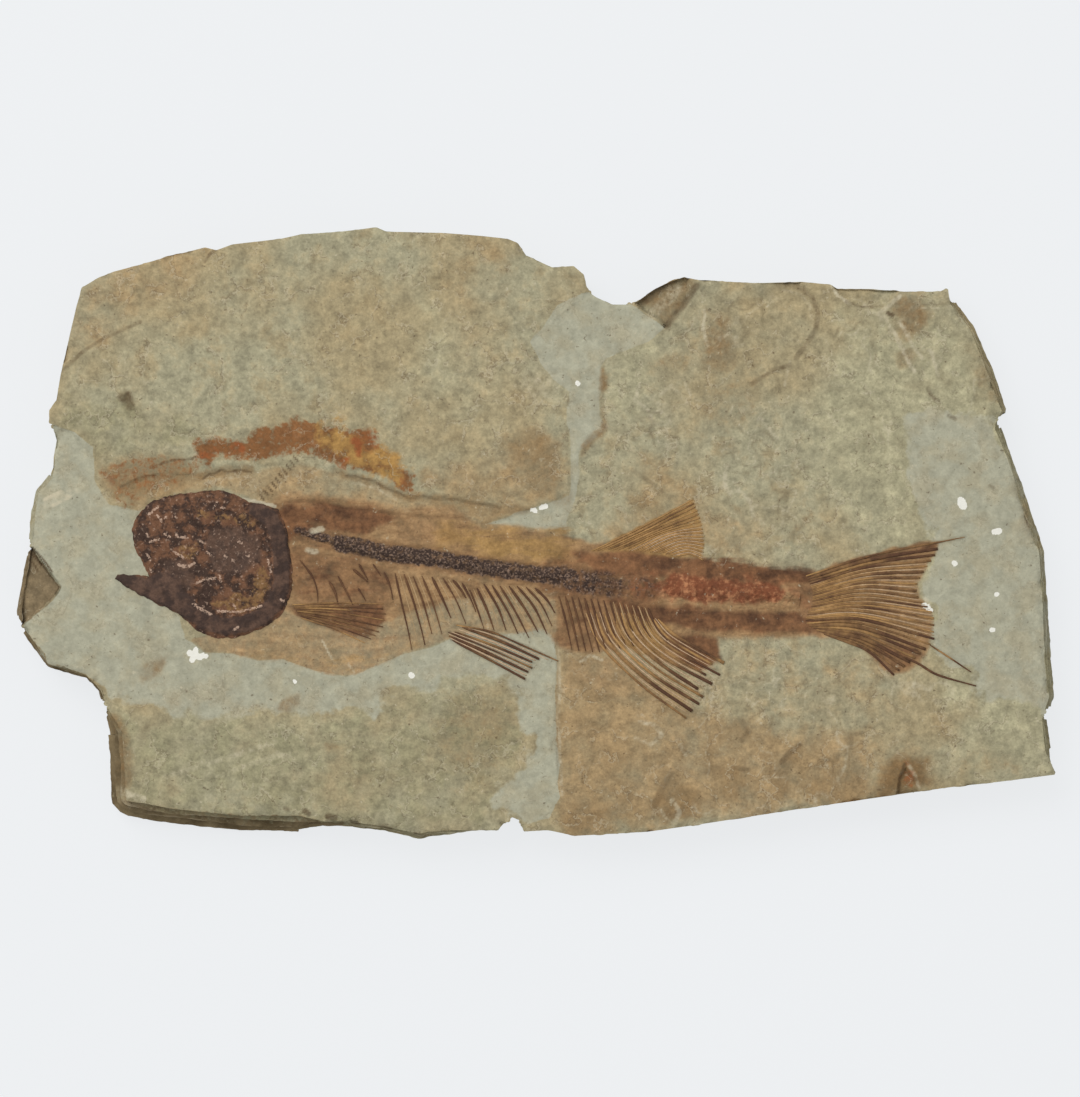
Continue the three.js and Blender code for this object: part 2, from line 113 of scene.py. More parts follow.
# Outline of the fish's body film on the stone, and of its parts
BODY_FRONT = [
    (272, 507), (287, 499), (321, 501), (359, 507), (398, 513), (430, 516), (452, 514), (484, 523),
    (520, 527), (566, 530), (563, 560), (556, 600), (553, 640), (540, 630), (520, 633), (500, 635),
    (470, 633), (446, 641), (430, 648), (400, 656), (385, 663), (362, 673), (346, 677), (334, 676),
    (315, 671), (295, 665), (283, 660), (258, 661), (232, 654), (205, 652), (190, 640), (215, 630),
    (250, 600), (270, 560),
]
BODY_REAR = [
    (558, 530), (590, 541), (609, 541), (640, 545), (701, 558), (740, 569), (773, 571), (816, 571),
    (860, 600), (829, 636), (784, 637), (760, 639), (717, 637), (716, 660), (700, 668), (680, 668),
    (640, 652), (615, 648), (590, 655), (566, 650), (552, 640), (554, 600),
]
TAIL_OUTLINE = [
    (800, 572), (816, 571), (830, 566), (860, 556), (876, 553), (919, 542), (938, 542), (936, 553),
    (916, 583), (919, 599), (932, 610), (932, 632), (930, 645), (919, 664), (892, 676), (873, 661),
    (861, 647), (847, 640), (820, 636), (800, 628),
]
DORSAL_OUTLINE = [(590, 551), (609, 541), (692, 500), (701, 522), (703, 545), (702, 558), (661, 559)]
RUST_OUTLINE = [
    (198, 442), (231, 437), (247, 441), (260, 427), (285, 424), (296, 420), (313, 420), (353, 431),
    (372, 428), (375, 448), (392, 455), (413, 475), (413, 490), (396, 488), (385, 475), (362, 470),
    (347, 468), (330, 462), (317, 455), (294, 452), (276, 453), (260, 458), (246, 455), (219, 457),
    (208, 465), (198, 457),
]

# Stains on the face, a few of them painted shade where noted: mark, strength, feather in mm, raggedness in
# mm, outline
STAINS = [
    ('film', 0.56, 0.45, 0.4, BODY_FRONT),
    ('film', 0.9, 2.5, 1.0, [
        (262, 507), (287, 492), (321, 494), (398, 506), (452, 507), (484, 524), (566, 532), (563, 560),
        (556, 596), (520, 596), (446, 604), (390, 622), (330, 628), (280, 612)]),
    ('film', 0.95, 2.0, 1.2, BODY_REAR),
    ('film', 0.9, 1.2, 1.0, TAIL_OUTLINE),
    ('film', 0.5, 0.7, 0.4, DORSAL_OUTLINE),
    ('film', 0.35, 5.0, 3.0, [(560, 655), (600, 650), (690, 690), (690, 715), (620, 700), (565, 690)]),
    ('umber', 0.95, 2.4, 3.0, [
        (268, 512), (285, 499), (322, 501), (362, 508), (402, 515), (392, 526), (360, 533), (320, 530),
        (280, 545)]),
    ('umber', 0.55, 3.5, 3.0, [
        (285, 545), (330, 552), (385, 560), (400, 580), (385, 604), (300, 606), (288, 590)]),
    ('umber', 0.85, 1.8, 1.0, [
        (287, 605), (334, 603), (382, 604), (386, 620), (366, 640), (339, 631), (301, 619)]),
    ('umber', 0.5, 3.0, 3.0, [
        (557, 548), (600, 545), (640, 560), (640, 620), (610, 648), (575, 650), (556, 640)]),
    ('umber', 1.0, 2.2, 1.5, [
        (564, 550), (610, 549), (660, 553), (720, 562), (800, 566), (815, 572), (812, 586), (770, 587),
        (700, 580), (640, 574), (600, 578)]),
    ('umber', 0.95, 2.2, 1.5, [
        (600, 598), (660, 606), (730, 611), (800, 612), (830, 620), (820, 634), (760, 632), (700, 630),
        (640, 622)]),
    ('umber', 0.95, 1.8, 3.0, [
        (660, 632), (700, 630), (716, 640), (716, 658), (700, 667), (682, 662), (668, 650)]),
    ('umber', 0.22, 1.6, 1.4, TAIL_OUTLINE),
    ('umber', 0.6, 1.4, 0.8, [
        (857, 637), (873, 640), (915, 645), (925, 655), (912, 667), (892, 676), (873, 661)]),
    ('umber', 0.55, 1.0, 0.8, [
        (806, 573), (816, 571), (860, 556), (919, 542), (938, 542), (937, 550), (880, 566), (830, 578)]),
    ('umber', 0.55, 3.0, 2.0, [(790, 572), (840, 570), (856, 590), (850, 625), (800, 632)]),
    ('umber', 0.25, 4.0, 3.0, [(390, 520), (470, 524), (470, 548), (400, 545)]),
    ('umber', 0.25, 1.6, 1.0, [(590, 551), (609, 541), (660, 515), (665, 530), (655, 550), (610, 556)]),
    ('gold', 0.9, 8.0, 5.0, [
        (440, 520), (484, 524), (520, 528), (560, 530), (563, 562), (520, 565), (470, 556), (440, 545)]),
    ('gold', 0.3, 2.5, 3.0, [
        (215, 655), (258, 650), (300, 648), (340, 655), (380, 650), (430, 640), (400, 655), (362, 672),
        (334, 675)]),
    ('gold', 0.9, 2.6, 2.0, [(612, 614), (650, 615), (668, 630), (660, 655), (640, 655), (615, 645)]),
    ('gold', 0.9, 0.8, 0.5, DORSAL_OUTLINE),
    ('rose', 1.0, 2.2, 2.0, [
        (642, 580), (690, 574), (745, 579), (785, 588), (795, 598), (770, 602), (720, 602), (660, 596),
        (644, 591)]),
    ('rose', 0.45, 4.0, 2.0, [
        (625, 576), (690, 571), (760, 576), (812, 590), (810, 604), (720, 606), (636, 598)]),
    ('rust', 0.95, 2.2, 2.0, RUST_OUTLINE),
    ('rust', 0.4, 3.0, 4.0, [(95, 470), (130, 458), (200, 458), (200, 474), (160, 490), (120, 500)]),
    ('amber', 0.9, 3.5, 3.0, [
        (313, 418), (353, 429), (370, 428), (364, 452), (392, 455), (412, 478), (400, 490), (350, 464),
        (317, 454)]),
    ('ember', 0.6, 2.4, 2.0, [
        (201, 440), (231, 438), (247, 442), (246, 454), (219, 456), (208, 464), (198, 456)]),
    ('ember', 0.85, 2.0, 2.0, [(328, 458), (345, 450), (352, 458), (345, 469), (335, 466)]),
    ('ember', 0.75, 3.0, 2.5, [(352, 428), (374, 426), (374, 446), (362, 452), (355, 442)]),
    ('ember', 0.55, 2.4, 2.0, [(396, 470), (412, 476), (412, 490), (399, 487)]),
    ('ember', 0.4, 3.5, 2.5, [(895, 775), (910, 764), (924, 776), (918, 793), (898, 796)]),
    ('tea', 0.5, 5.0, 5.0, [(700, 345), (712, 318), (728, 322), (738, 366), (712, 378), (700, 368)]),
    ('tea', 0.35, 4.0, 4.0, [(703, 305), (728, 300), (730, 330), (715, 345), (705, 335)]),
    ('tea', 0.65, 5.0, 4.0, [
        (886, 300), (905, 292), (925, 295), (930, 318), (925, 338), (905, 345), (884, 315)]),
    ('tea', 0.5, 2.5, 3.0, [(892, 352), (908, 350), (912, 366), (898, 370)]),
    ('tea', 0.9, 4.5, 3.0, [(882, 768), (905, 752), (930, 758), (930, 785), (915, 797), (880, 800)]),
    ('tea', 0.55, 3.0, 3.0, [
        (648, 800), (672, 772), (680, 785), (700, 790), (700, 812), (670, 822), (650, 815)]),
    ('tea', 0.45, 3.0, 3.0, [(720, 770), (745, 765), (750, 775), (740, 800), (720, 800)]),
    ('tea', 0.45, 4.0, 3.0, [(730, 715), (745, 715), (752, 735), (742, 742), (728, 730)]),
    ('tea', 0.45, 2.5, 2.0, [(772, 768), (798, 745), (800, 760), (790, 775), (790, 795), (775, 800)]),
    ('tea', 0.45, 6.0, 5.0, [(570, 800), (600, 795), (640, 805), (640, 828), (575, 834), (560, 825)]),
    ('tea', 0.3, 5.0, 5.0, [(600, 740), (640, 745), (640, 780), (600, 790)]),
    ('tea', 0.35, 6.0, 6.0, [(800, 770), (870, 760), (870, 800), (800, 805)]),
    ('tea', 0.3, 4.0, 4.0, [(960, 758), (1010, 752), (1020, 770), (960, 780)]),
    ('tea', 0.35, 4.0, 4.0, [(648, 362), (690, 350), (690, 365), (650, 376)]),
    ('tea', 0.3, 6.0, 6.0, [(690, 380), (760, 380), (760, 430), (700, 440)]),
    ('tea', 0.4, 3.0, 3.0, [(715, 440), (735, 440), (735, 452), (715, 452)]),
    ('tea', 0.6, 1.4, 1.5, [
        (599, 368), (606, 357), (606, 385), (603, 400), (611, 427), (590, 450), (580, 458), (582, 446),
        (600, 428)]),
    ('tea', 0.45, 3.0, 3.0, [(628, 492), (650, 495), (660, 505), (640, 515), (625, 505)]),
    ('tea', 0.4, 2.0, 2.0, [(732, 505), (745, 505), (742, 520), (732, 515)]),
    ('tea', 0.4, 2.0, 2.0, [(795, 525), (810, 515), (805, 530), (795, 540), (785, 540)]),
    # Painted shade over the brown broken face of the chipped wedge at the top edge.
    ('tea', 0.55, 1.4, 1.0, [(640, 301), (667, 326), (697, 285), (690, 270), (650, 270)]),
    ('tea', 0.35, 2.0, 2.0, [(972, 355), (985, 345), (1000, 385), (1004, 410), (985, 400)]),
    ('tea', 0.35, 2.0, 2.0, [(1018, 490), (1030, 505), (1036, 540), (1022, 530)]),
    ('tea', 0.5, 2.0, 2.0, [(140, 668), (160, 656), (172, 652), (168, 662), (152, 680), (140, 686)]),
    ('tea', 0.5, 1.5, 1.2, [(272, 713), (282, 698), (300, 694), (302, 706), (290, 713)]),
    ('tea', 0.25, 4.0, 5.0, [(115, 695), (180, 690), (185, 712), (130, 718)]),
    ('tea', 0.3, 6.0, 6.0, [(430, 720), (470, 690), (505, 700), (510, 760), (490, 800), (450, 790)]),
    ('tea', 0.45, 1.6, 1.6, [(324, 742), (334, 740), (338, 750), (328, 754)]),
    ('tea', 0.65, 2.4, 1.5, [(104, 712), (122, 714), (131, 750), (133, 786), (106, 790)]),
    ('tea', 0.45, 5.0, 5.0, [(95, 470), (130, 458), (200, 460), (200, 478), (150, 492), (115, 498)]),
    ('tea', 0.45, 4.0, 4.0, [(505, 440), (545, 430), (568, 440), (568, 492), (545, 495), (515, 485)]),
    ('tea', 0.4, 4.0, 4.0, [(440, 500), (500, 500), (568, 492), (568, 500), (500, 520), (440, 512)]),
    ('sage', 0.9, 14.0, 8.0, [
        (850, 310), (985, 325), (1056, 560), (1056, 775), (975, 780), (945, 690), (900, 540),
        (820, 470), (810, 380)]),
    ('sage', 0.45, 8.0, 8.0, [(720, 660), (900, 680), (960, 740), (850, 755), (740, 745), (715, 690)]),
    ('sage', 0.6, 8.0, 8.0, [(820, 320), (870, 315), (870, 345), (825, 350)]),
    ('sage', 0.6, 7.0, 6.0, [(120, 715), (380, 712), (330, 780), (150, 795)]),
    ('sage', 0.5, 8.0, 6.0, [(420, 300), (510, 300), (510, 420), (430, 420)]),
    ('sage', 0.7, 5.0, 4.0, [(610, 330), (660, 345), (640, 420), (612, 420)]),
    ('ochre', 0.6, 5.0, 6.0, [
        (490, 450), (530, 425), (568, 430), (568, 495), (526, 508), (470, 495), (420, 480)]),
    ('ochre', 0.7, 1.5, 1.5, STRIP),
    ('ochre', 0.5, 4.0, 5.0, [(95, 465), (160, 455), (210, 462), (200, 480), (150, 490), (110, 495)]),
    ('ochre', 0.85, 9.0, 6.0, [
        (556, 650), (640, 670), (720, 710), (800, 720), (860, 730), (880, 800), (700, 824), (575, 836),
        (556, 809)]),
    ('ochre', 0.35, 12.0, 8.0, [
        (700, 640), (900, 660), (950, 720), (920, 790), (740, 810), (650, 700)]),
    ('ochre', 0.3, 8.0, 8.0, [(440, 240), (520, 245), (530, 330), (500, 420), (440, 400)]),
    ('ochre', 0.45, 3.0, 4.0, CORNER_BEYOND_CREASE),
    ('ochre', 0.5, 6.0, 5.0, [
        (640, 460), (690, 470), (720, 510), (760, 520), (740, 560), (700, 540), (600, 540)]),
    ('pale', 0.25, 4.0, 2.5, [(520, 370), (545, 362), (562, 385), (556, 402), (530, 400), (515, 385)]),
    ('moss', 0.55, 5.0, 5.0, [
        (112, 725), (240, 722), (330, 716), (400, 700), (470, 682), (512, 695), (520, 740), (500, 790),
        (490, 830), (300, 825), (140, 815)]),
    ('moss', 0.6, 6.0, 5.0, [(60, 400), (110, 410), (190, 420), (190, 440), (110, 455), (60, 440)]),
    ('brown', 0.9, 0.6, 0.6, [(10, 548), (32, 548), (60, 587), (40, 612), (19, 627), (5, 620)]),
    # Along the bottom-left edge: brown of the edge and painted shade of its sloping face.
    ('brown', 0.85, 0.8, 0.8, [
        (105, 797), (140, 803), (160, 815), (240, 822), (330, 822), (330, 840), (105, 830)]),
]

# The dark crust of grains along the backbone: strength, width in mm, feather in mm, line
GRAIN_LINES = [
    (0.85, 1.6, 1.4, [(297, 530), (330, 540), (380, 552)]),
    (1.0, 4.2, 1.8, [(340, 543), (380, 552), (430, 558), (470, 565), (520, 572), (561, 577)]),
    (0.75, 5.0, 3.5, [(561, 577), (590, 583)]),
    (0.55, 4.0, 5.0, [(588, 582), (612, 586)]),
    (0.4, 2.5, 5.0, [(610, 585), (650, 589)]),
]
HAZE_LINES = [
    (0.5, 5.0, 3.5, [(300, 531), (330, 540), (380, 552), (430, 558), (470, 565), (520, 572), (561, 577)]),
    (0.65, 10.0, 5.0, [(556, 577), (600, 586), (640, 590)]),
]

# Marks drawn along a line, some of them painted shadow and highlight where noted: mark, strength, width in
# mm, feather in mm, line
MARK_LINES = [
    # Painted shadow: the shade lines from here to the tea lines lie along the thin ledges at the foot of the
    # raised field over the head.
    ('shade', 0.5, 0.4, 0.6, [(160, 464), (168, 462), (178, 459), (187, 460), (196, 457)]),
    ('shade', 0.35, 0.4, 0.6, [(160, 482), (167, 481), (172, 477)]),
    ('shade', 0.6, 0.4, 0.6, [
        (203, 479), (209, 474), (214, 474), (221, 470), (228, 472), (240, 470), (251, 472)]),
    ('shade', 0.5, 0.4, 0.7, [
        (346, 476), (356, 476), (365, 479), (375, 481), (383, 487), (399, 493), (410, 499)]),
    ('shade', 0.4, 0.4, 0.6, [(305, 474), (315, 468), (317, 462), (314, 458), (303, 457)]),
    ('shade', 0.4, 0.5, 0.8, [
        (410, 499), (424, 496), (439, 500), (455, 499), (470, 503), (487, 504), (500, 508)]),
    # Brown along the foot of the raised field, partly painted shade below its ledge.
    ('tea', 0.5, 1.2, 2.4, [(122, 487), (140, 478), (159, 475), (200, 476), (226, 469), (250, 469)]),
    ('tea', 0.45, 1.2, 2.4, [
        (335, 471), (365, 480), (390, 488), (404, 496), (439, 498), (484, 505), (526, 510)]),
    ('pale', 0.3, 0.6, 0.7, [(205, 484), (222, 478), (250, 477)]),
    ('pale', 0.3, 0.6, 0.7, [(352, 482), (375, 488), (396, 499)]),
    ('shade', 0.45, 0.6, 0.9, [(60, 372), (85, 350), (105, 338), (140, 322)]),
    ('shade', 0.45, 0.6, 0.7, [(205, 262), (210, 254), (216, 250)]),
    # Painted shadow under the ledge at the field's foot.
    ('shade', 0.45, 0.4, 0.5, [(120, 487), (140, 477), (158, 474)]),
    ('shade', 0.75, 0.35, 0.4, [(27, 552), (34, 556), (41, 565)]),
    ('shade', 0.7, 0.35, 0.4, [(27, 559), (33, 563), (38, 572)]),
    ('shade', 0.75, 0.35, 0.4, [(30, 549), (38, 553), (46, 563), (52, 572)]),
    ('shade', 0.5, 0.4, 0.5, [(46, 606), (54, 596), (60, 587)]),
    # The chipped wedge at the top edge: painted shadow along its rims, and a painted highlight on its lit
    # facet.
    ('shade', 0.55, 1.2, 1.4, [(697, 285), (685, 303), (667, 326)]),
    ('shade', 0.4, 2.0, 1.5, [(640, 303), (650, 296), (664, 285)]),
    ('pale', 0.3, 3.0, 1.2, [(680, 287), (665, 302), (652, 315)]),
    ('shade', 0.45, 0.6, 0.6, [(846, 302), (862, 307), (882, 306)]),
    ('pale', 0.55, 0.8, 0.6, [(832, 286), (838, 296), (850, 304)]),
    ('pale', 0.5, 0.8, 0.8, [(880, 312), (890, 305), (900, 296)]),
    ('shade', 0.7, 0.9, 0.7, [(888, 313), (892, 315)]),
    ('shade', 0.42, 0.9, 1.2, [
        (778, 284), (797, 286), (812, 297), (818, 313), (816, 330), (805, 346), (796, 358)]),
    ('shade', 0.4, 0.7, 1.1, [(790, 365), (772, 371), (752, 384)]),
    ('pale', 0.3, 0.6, 0.8, [(783, 290), (800, 294), (810, 306), (812, 322)]),
    ('shade', 0.45, 0.9, 0.8, [(928, 388), (931, 396), (938, 401)]),
    ('shade', 0.45, 0.9, 0.7, [(949, 416), (955, 419)]),
    ('shade', 0.35, 0.9, 0.7, [(990, 486), (993, 488)]),
    # Flake edges on the right stone: the pale lines are light edges that are partly painted highlight on
    # their lips, and the shade lines below them are painted shade.
    ('pale', 0.4, 0.7, 0.8, [(705, 310), (703, 330), (708, 345)]),
    ('pale', 0.3, 0.7, 0.8, [(785, 385), (787, 372), (790, 362)]),
    ('pale', 0.4, 0.8, 0.9, [(727, 465), (724, 480), (730, 495)]),
    ('pale', 0.35, 0.7, 0.9, [(760, 418), (770, 430), (777, 438)]),
    ('shade', 0.3, 0.6, 0.8, [(764, 430), (770, 436), (774, 440)]),
    ('pale', 0.35, 0.8, 0.9, [(640, 385), (635, 400), (648, 410)]),
    ('pale', 0.35, 0.7, 0.8, [(684, 380), (690, 395)]),
    ('pale', 0.3, 0.8, 0.9, [(660, 395), (672, 385), (682, 398)]),
    ('shade', 0.3, 0.7, 1.0, [(632, 470), (645, 478), (655, 486)]),
    ('pale', 0.35, 0.8, 1.0, [(640, 722), (655, 725), (662, 735), (650, 745), (636, 738)]),
    ('pale', 0.45, 0.9, 0.9, [(672, 800), (680, 812), (676, 820)]),
    ('pale', 0.35, 0.8, 0.8, [(660, 810), (668, 820)]),
    ('shade', 0.35, 1.2, 1.6, [(670, 774), (660, 792), (655, 805)]),
    ('pale', 0.35, 0.8, 0.9, [(680, 745), (686, 755)]),
    ('shade', 0.5, 0.7, 0.8, [(905, 764), (900, 778), (899, 792)]),
    ('pale', 0.3, 0.8, 0.9, [(909, 765), (915, 776), (919, 788)]),
    ('shade', 0.35, 1.0, 1.2, [(742, 720), (749, 732), (742, 740)]),
    ('shade', 0.4, 0.9, 0.9, [(735, 768), (748, 770)]),
    ('pale', 0.35, 0.7, 0.8, [(558, 650), (560, 690), (558, 720), (560, 760), (562, 795)]),
    ('shade', 0.7, 1.2, 0.9, [(305, 811), (309, 814)]),
    ('shade', 0.6, 1.6, 1.0, [(328, 816), (334, 818)]),
    ('shade', 0.5, 1.0, 0.9, [(352, 822), (358, 824)]),
    ('shade', 0.5, 1.0, 0.9, [(285, 808), (288, 810)]),
    ('shade', 0.5, 1.0, 0.9, [(380, 826), (390, 829)]),
    ('shade', 0.45, 1.0, 0.9, [(415, 834), (424, 836)]),
    ('shade', 0.35, 1.0, 1.2, [(170, 812), (200, 818), (240, 816)]),
    ('pale', 0.45, 2.0, 1.2, [(113, 789), (128, 794), (142, 799)]),
    ('shade', 0.22, 1.0, 1.4, [(566, 440), (570, 470), (571, 500), (566, 530), (564, 556)]),
    ('shade', 0.45, 1.2, 1.2, [(782, 762), (790, 752), (800, 745)]),
    ('shade', 0.3, 0.6, 0.8, [(555, 640), (557, 662), (557, 695), (555, 720), (557, 746), (559, 780)]),
    ('shade', 0.3, 0.6, 0.8, [
        (272, 508), (287, 500), (321, 502), (359, 508), (398, 514), (430, 517), (470, 519)]),
    ('shade', 0.6, 1.6, 2.2, [(123, 398), (128, 396), (130, 405)]),
    ('pale', 0.8, 0.9, 0.5, [(244, 499), (259, 503), (275, 506)]),
    ('pale', 0.28, 0.9, 1.2, [(165, 776), (215, 762), (275, 742)]),
    ('pale', 0.26, 0.9, 1.2, [(215, 778), (250, 764), (290, 753)]),
    ('pale', 0.55, 0.7, 0.7, [(44, 500), (62, 491)]),
    ('pale', 0.55, 0.7, 0.7, [(52, 506), (70, 497)]),
    ('pale', 0.4, 1.4, 1.2, [(45, 505), (60, 496), (75, 491)]),
    ('pale', 0.5, 0.5, 0.4, [(322, 640), (328, 652), (332, 659)]),
    ('pale', 0.5, 0.5, 0.4, [(348, 664), (354, 672)]),
    ('pale', 0.5, 1.2, 1.0, [(312, 531), (322, 529)]),
    ('pale', 0.5, 1.0, 1.0, [(307, 550), (316, 552)]),
    ('pale', 0.5, 0.9, 0.7, [(112, 800), (128, 806), (140, 812)]),
    ('pale', 0.5, 0.7, 0.6, [(925, 598), (929, 605), (931, 609)]),
    ('pale', 0.4, 0.7, 0.6, [(580, 662), (590, 655), (602, 660)]),
    ('pale', 0.5, 0.8, 0.9, [(893, 330), (905, 355), (914, 372)]),
    ('pale', 0.5, 0.7, 0.8, [(900, 322), (912, 345), (922, 358)]),
    ('pale', 0.45, 0.7, 0.8, [(930, 350), (936, 365), (938, 376)]),
    ('pale', 0.35, 0.7, 0.8, [(884, 310), (890, 330)]),
]
WHITE_SPECKS = [
    (2.4, [(961, 501), (963, 506)]), (1.6, [(994, 532), (999, 531)]), (1.2, [(954, 563), (955, 564)]),
    (1.0, [(996, 594), (997, 594)]), (1.3, [(992, 630), (993, 630)]), (1.1, [(924, 605), (931, 610)]),
    (1.3, [(577, 383), (578, 384)]), (1.4, [(411, 675), (412, 676)]), (1.2, [(541, 508), (546, 506)]),
    (1.2, [(533, 510), (535, 511)]), (0.7, [(294, 681), (295, 682)]), (1.7, [(190, 653), (200, 657)]),
    (1.5, [(192, 660), (196, 650)]), (1.2, [(203, 655), (206, 656)]),
]

# The strand of short dashes that lies over the fish's head
STRAND = [(262, 497), (272, 487), (283, 474), (296, 459)]
STRAND_DASHES = 10

# Skull: outline, bars and coloured areas
SKULL = [
    (132, 531), (134, 521), (142, 510), (153, 501), (166, 497), (187, 493), (205, 491), (223, 491),
    (237, 495), (248, 502), (267, 505), (278, 510), (284, 521), (288, 535), (289, 549), (292, 567),
    (292, 589), (287, 603), (282, 614), (267, 626), (250, 633), (232, 638), (214, 638), (196, 630),
    (184, 619), (176, 612), (151, 601), (126, 587), (115, 579), (117, 574), (134, 575), (150, 577),
    (141, 560), (134, 546),
]
GILL_RING = [
    (258, 510), (272, 520), (280, 540), (282, 562), (282, 586), (276, 602), (264, 616), (246, 624),
    (226, 627), (206, 622), (194, 612), (184, 602),
]
JAW = [
    (115, 579), (117, 574), (134, 575), (150, 577), (165, 570), (182, 580), (188, 600), (196, 612),
    (190, 622), (176, 612), (151, 601), (126, 587),
]
SKULL_AREAS = [
    ('plum', 0.9, 2.0, 1.6, [
        (208, 531), (235, 527), (260, 535), (262, 560), (245, 572), (215, 570), (205, 550)]),
    ('plum', 0.8, 2.0, 1.0, [(158, 560), (185, 556), (196, 572), (190, 590), (170, 585)]),
    ('honey', 0.9, 1.4, 1.4, [(252, 574), (266, 565), (270, 590), (262, 606), (250, 600)]),
    ('honey', 0.8, 2.0, 2.0, [
        (195, 505), (221, 512), (245, 512), (262, 520), (250, 527), (225, 523), (196, 520)]),
    ('honey', 0.7, 1.4, 1.6, [(179, 544), (200, 542), (206, 555), (190, 560), (178, 556)]),
    ('honey', 0.8, 1.4, 1.4, [(205, 600), (230, 596), (255, 598), (262, 606), (240, 611), (212, 610)]),
]
SKULL_CHIPS = [
    (1.2, [(149, 514), (158, 507)]),
    (1.0, [(157, 515), (162, 521)]),
    (1.3, [(165, 518), (167, 517)]),
    (1.0, [(176, 517), (177, 518)]),
    (0.9, [(147, 534), (148, 536)]),
    (1.1, [(150, 542), (159, 539)]),
    (0.9, [(176, 533), (178, 537), (188, 538)]),
    (1.1, [(200, 541), (205, 543)]),
    (1.2, [(174, 552), (183, 557)]),
    (0.9, [(147, 554), (150, 560)]),
    (1.0, [(150, 568), (151, 572)]),
    (1.7, [(179, 565), (189, 567)]),
    (1.1, [(189, 566), (195, 563)]),
    (1.1, [(197, 583), (206, 579), (216, 578)]),
    (1.2, [(220, 576), (221, 581)]),
    (1.0, [(225, 556), (227, 557)]),
    (1.0, [(232, 560), (234, 561)]),
    (1.0, [(247, 556), (249, 556)]),
    (1.2, [(239, 542), (242, 543)]),
    (1.3, [(222, 508), (224, 508)]),
    (0.7, [(215, 506), (217, 502)]),
    (1.5, [(194, 604), (201, 609), (211, 614)]),
    (0.9, [(218, 611), (239, 612), (250, 609), (262, 606)]),
    (1.3, [(281, 600), (284, 601)]),
    (1.2, [(234, 630), (238, 627)]),
    (0.8, [(233, 604), (236, 608)]),
    (0.9, [(268, 560), (271, 572)]),
    (0.8, [(207, 552), (212, 556)]),
    (0.8, [(165, 534), (170, 537)]),
]

# Backbone, ribs and spines
FRONT_COLUMN = [(297, 530), (330, 540), (380, 552), (430, 558), (470, 565), (520, 572), (559, 577)]
REAR_COLUMN = [(564, 578), (600, 584), (640, 589), (700, 592), (760, 596), (800, 600)]
VERTEBRA = 2.55
SHORT_RIBS = 8
PALE_TONE = 2.0
# Width, height, share of the width at the root, and steps along
FRONT_SIZE = (7.4, 1.5, 0.25, 420)
REAR_SIZE = (11.0, 1.1, 0.8, 400)
RIBS = [
    [(300, 560), (312, 576), (317, 590), (318, 604)], [(329, 581), (335, 592), (338, 604)],
    [(338, 576), (346, 591), (353, 605)], [(358, 588), (366, 601)], [(353, 569), (368, 582)],
    [(359, 564), (368, 580)], [(373, 564), (381, 576)], [(384, 572), (390, 586), (393, 600)],
    [(395, 573), (401, 600), (408, 630), (412, 650)], [(404, 574), (413, 600), (421, 628), (425, 645)],
    [(413, 576), (423, 602), (432, 634)], [(422, 576), (433, 604), (442, 634)],
    [(432, 577), (443, 600), (451, 618)], [(443, 578), (456, 600), (466, 624)],
    [(453, 580), (461, 590), (466, 598)], [(462, 583), (470, 597), (476, 612)],
    [(470, 590), (478, 611), (484, 629)], [(477, 588), (487, 610), (494, 630)],
    [(484, 584), (498, 608), (506, 630)], [(492, 585), (508, 612), (518, 634)],
    [(500, 586), (515, 611), (529, 638)], [(509, 586), (525, 609), (538, 632)],
    [(517, 586), (534, 607), (547, 634)], [(526, 587), (541, 604), (552, 626)],
    [(535, 588), (547, 600), (555, 613)],
]
TAIL_SPINES = {
    "roots": [(559, 596), (585, 598), (615, 602), (648, 608)],
    "middles": [(566, 622), (592, 624), (622, 626), (656, 626)],
    "tips": [(572, 650), (604, 652), (634, 646), (668, 642)],
    "count": 15,
}

# Fins: rays given one by one, or rays spread between a line of roots, one of middles and one of tips
PECTORAL_RAYS = [
    [(292, 605), (334, 603), (384, 604)], [(294, 607), (334, 606), (383, 609)],
    [(295, 608), (334, 609), (386, 614)], [(296, 610), (334, 612), (384, 620)],
    [(297, 611), (334, 616), (383, 627)], [(298, 613), (332, 619), (379, 632)],
    [(299, 614), (332, 622), (376, 636)], [(300, 616), (332, 625), (371, 639)],
    [(301, 618), (332, 628), (365, 643)],
]
PELVIC_RAYS = [
    [(456, 625), (491, 632), (526, 647), (558, 661)], [(462, 627), (500, 641), (539, 659)],
    [(455, 632), (492, 645), (532, 662)], [(448, 632), (490, 649), (532, 668)],
    [(449, 636), (490, 654), (528, 672)], [(452, 640), (490, 660), (525, 679)],
]
DORSAL_FAN = {
    "roots": [(592, 551), (612, 550), (636, 551), (658, 553), (676, 556)],
    "middles": [(640, 528), (652, 531), (668, 534), (680, 542), (690, 554)],
    "tips": [(692, 500), (698, 512), (702, 526), (704, 542), (703, 560)],
    "count": 17,
}
ANAL_RAYS = [
    [(586, 613), (600, 644), (640, 684), (686, 718)], [(595, 612), (608, 642), (646, 679), (692, 711)],
    [(604, 612), (616, 640), (652, 674), (699, 704)], [(613, 612), (624, 638), (657, 669), (703, 697)],
    [(621, 613), (632, 637), (661, 664), (698, 689)], [(629, 613), (640, 636), (666, 659), (712, 684)],
    [(637, 614), (648, 636), (671, 655), (706, 675)], [(645, 615), (656, 635), (676, 651), (720, 675)],
    [(652, 617), (664, 634), (682, 647), (712, 664)], [(658, 619), (672, 633), (690, 644), (724, 663)],
]
